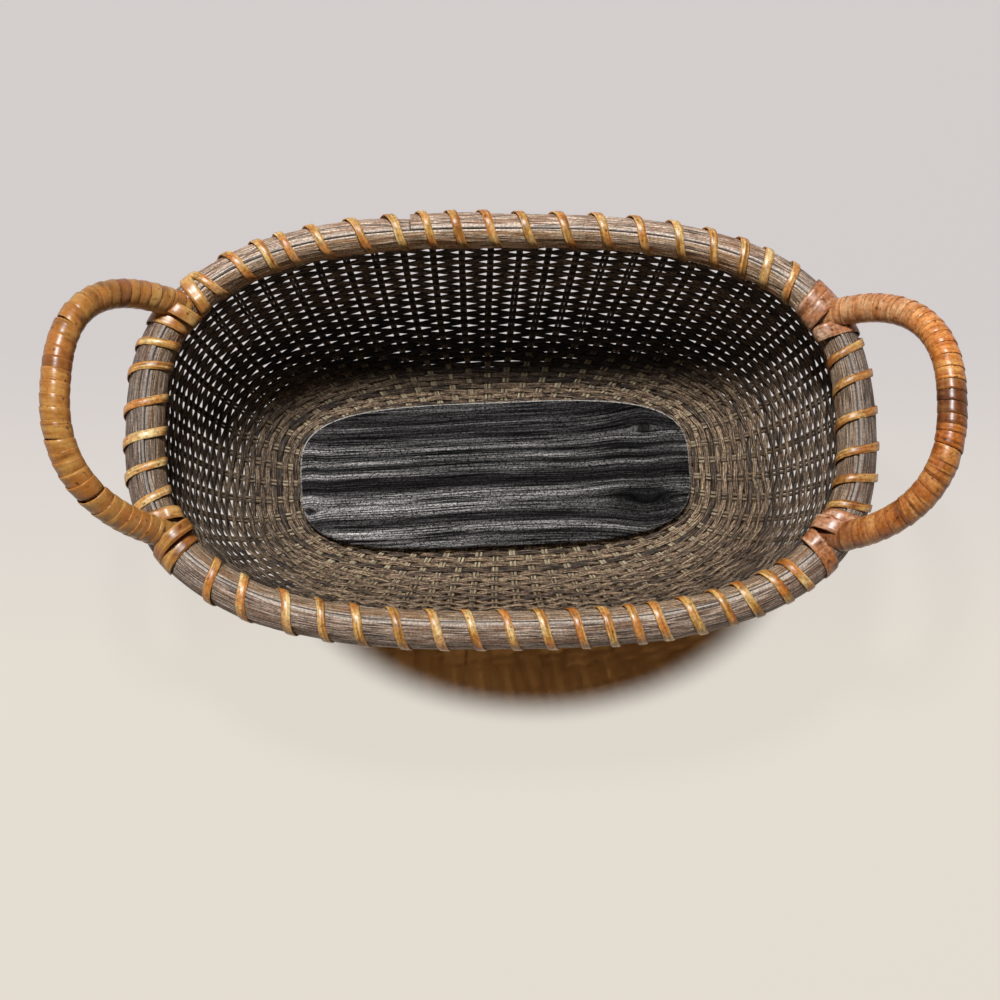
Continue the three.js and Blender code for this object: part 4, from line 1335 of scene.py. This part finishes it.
def root_path(root_name, seed):
    """Three turns round the rim, from one strap's place to the next under the rim."""
    turns = np.linspace(0, STRAP_COUNT, STRAP_COUNT * STRAP_STEPS + 1)
    turn = np.minimum(np.floor(turns), STRAP_COUNT - 1).astype(int)
    part = turns - turn
    outside, inside = np.array(STRAPS_MM).T * MM
    outer = outside[turn]
    inner = inside[turn]
    before = inside[np.maximum(turn - 1, 0)]
    after = outside[np.minimum(turn + 1, STRAP_COUNT - 1)]
    # A turn starts under the rim, is outside it at a quarter and inside it at three quarters
    offset = np.where(
        part < 0.25,
        before + (outer - before) * (part * 2 + 0.5),
        np.where(
            part < 0.75,
            outer + (inner - outer) * (part * 2 - 0.5),
            inner + (after - inner) * (part * 2 - 1.5),
        ),
    )
    near = np.sqrt(np.maximum(1 - (offset / HANDLE_COVER_HALF) ** 2, 0))
    lift = LASHING_LIFT + HANDLE_COVER * near * np.interp(part, COVER_TURN_PARTS, COVER_TURN_SHARES)
    share = ROOT_SHARES[root_name] + offset / RIM_LENGTH
    points, normals = round_rim(share, 2 * math.pi * turns - math.pi / 2, lift)
    return {
        "points": points,
        "out": normals,
        "width": STRAP_WIDTHS[root_name.split("_")[0]],
        "thickness": STRAP_THICKNESS,
        "shade": soft_noise(turns * STRAP_TONE_CHANGES_PER_TURN, 0, seed),
        "start": seed * 0.5,
    }


STRAP_TONES = {
    "left": ("left_root_cane", "#84501E", "#B67C3A", "#D6A864", "#B87032", "#5E2E10", 0.2),
    "right": ("knot_cane", "#7A4A30", "#B67C56", "#DDB494", "#B8703C", "#4A2210", 0.45),
}
strap_finish = {side: glossy_cane(*tones) for side, tones in STRAP_TONES.items()}
for seed, root_name in enumerate(ROOT_SHARES, 81):
    finish = strap_finish[root_name.split("_")[0]]
    path = root_path(root_name, seed)
    straps = strand_piece(f"{root_name}_straps", [path], STRAP_SIDES, STRIP_ROUNDNESS, finish)
    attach(straps, "root")
    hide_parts(f"{root_name}_handle_lashing")


# Floor.
# A plain pale surface, cream in front of the basket and grey behind it, takes its soft shadow. Pale
# walls stand far off on every side, so that a low view has a pale background too.
FLOOR_HALF = 6.0
BACKDROP_HEIGHT = 3.0
CORNERS = ((-1, -1), (1, -1), (1, 1), (-1, 1))
FLOOR_ROUGHNESS = 0.9
# From cream to grey over this depth, from front to back
CREAM_Y = -0.1
GREY_Y = 0.08
FLOOR_TONES = ((0, "#E4DDD2"), (0.5, "#DED7D1"), (1, "#D3CDCC"))
# Between these distances from the basket, floor and walls fade to one tone
FAR_START = 0.6
FAR_END = 2.0
FAR_TONE = "#DCD6D0"
# Away from the basket the camera sees the floor glow, which keeps the shadow small. Within an oval
# round the basket it doesn't glow, and is brown, so that the shadow is as warm as the photograph's.
FLOOR_GLOW = 0.94
SHADOW_HALF_LENGTH = 130 * MM
SHADOW_HALF_WIDTH = 92 * MM
SHADOW_FORWARD = 32 * MM
SHADOW_RIGHT = 22 * MM
SHADOW_EDGE = (0.92, 1.14)
SHADOW_TONE = "#DC974F"


def pale_floor():
    """A dull pale coat. Its glow shows to the camera and in gloss, and lights nothing."""
    material, tree = new_material("plain_floor")
    place = add_node(tree, "ShaderNodeTexCoord", output="Object")
    depth = add_node(tree, "ShaderNodeSeparateXYZ", {0: place}, output=1)
    depth = add_node(tree, "ShaderNodeMapRange", {0: depth, 1: CREAM_Y, 2: GREY_Y})
    colour = add_node(tree, "ShaderNodeValToRGB", {0: depth}, stops=FLOOR_TONES)
    far = add_node(tree, "ShaderNodeVectorMath", {0: place}, output="Value", operation="LENGTH")
    far = add_node(tree, "ShaderNodeMapRange", {0: far, 1: FAR_START, 2: FAR_END})
    mix = {0: far, 6: colour, 7: linear(FAR_TONE)}
    colour = add_node(tree, "ShaderNodeMix", mix, output=2, data_type="RGBA")
    oval = {
        "Vector": place,
        "Location": (-SHADOW_RIGHT / SHADOW_HALF_LENGTH, SHADOW_FORWARD / SHADOW_HALF_WIDTH, 0),
        "Scale": (1 / SHADOW_HALF_LENGTH, 1 / SHADOW_HALF_WIDTH, 0),
    }
    reach = {0: add_node(tree, "ShaderNodeMapping", oval)}
    reach = add_node(tree, "ShaderNodeVectorMath", reach, output="Value", operation="LENGTH")
    clear = {0: reach, 1: SHADOW_EDGE[0], 2: SHADOW_EDGE[1], 4: FLOOR_GLOW}
    clear = add_node(tree, "ShaderNodeMapRange", clear, interpolation_type="SMOOTHSTEP")
    outside = add_node(tree, "ShaderNodeMapRange", {0: clear, 2: FLOOR_GLOW})
    mix = {0: outside, 6: linear(SHADOW_TONE), 7: colour}
    lit = add_node(tree, "ShaderNodeMix", mix, output=2, data_type="RGBA")
    lit = {"Base Color": lit, "Roughness": FLOOR_ROUGHNESS}
    lit = add_node(tree, "ShaderNodeBsdfPrincipled", lit)
    glow = add_node(tree, "ShaderNodeEmission", {"Color": colour})
    ray = add_node(tree, "ShaderNodeLightPath").node.outputs
    seen = ray["Is Camera Ray"]
    for operation, value in (
        ("MAXIMUM", ray["Is Glossy Ray"]),
        ("MAXIMUM", ray["Is Transmission Ray"]),
        ("MULTIPLY", clear),
    ):
        seen = add_node(tree, "ShaderNodeMath", {0: seen, 1: value}, operation=operation)
    surface = add_node(tree, "ShaderNodeMixShader", {0: seen, 1: lit, 2: glow})
    add_node(tree, "ShaderNodeOutputMaterial", {"Surface": surface})
    return material


floor_material = pale_floor()
floor_corners = [(FLOOR_HALF * x, FLOOR_HALF * y, 0) for x, y in CORNERS]
floor = new_piece("floor", floor_corners, [(0, 1, 2, 3)], floor_material)
wall_corners = floor_corners + [(x, y, BACKDROP_HEIGHT) for x, y, _ in floor_corners]
walls = [((i + 1) % 4, i, i + 4, (i + 1) % 4 + 4) for i in range(4)]
backdrop = new_piece("backdrop", wall_corners, walls, floor_material, smooth=False)
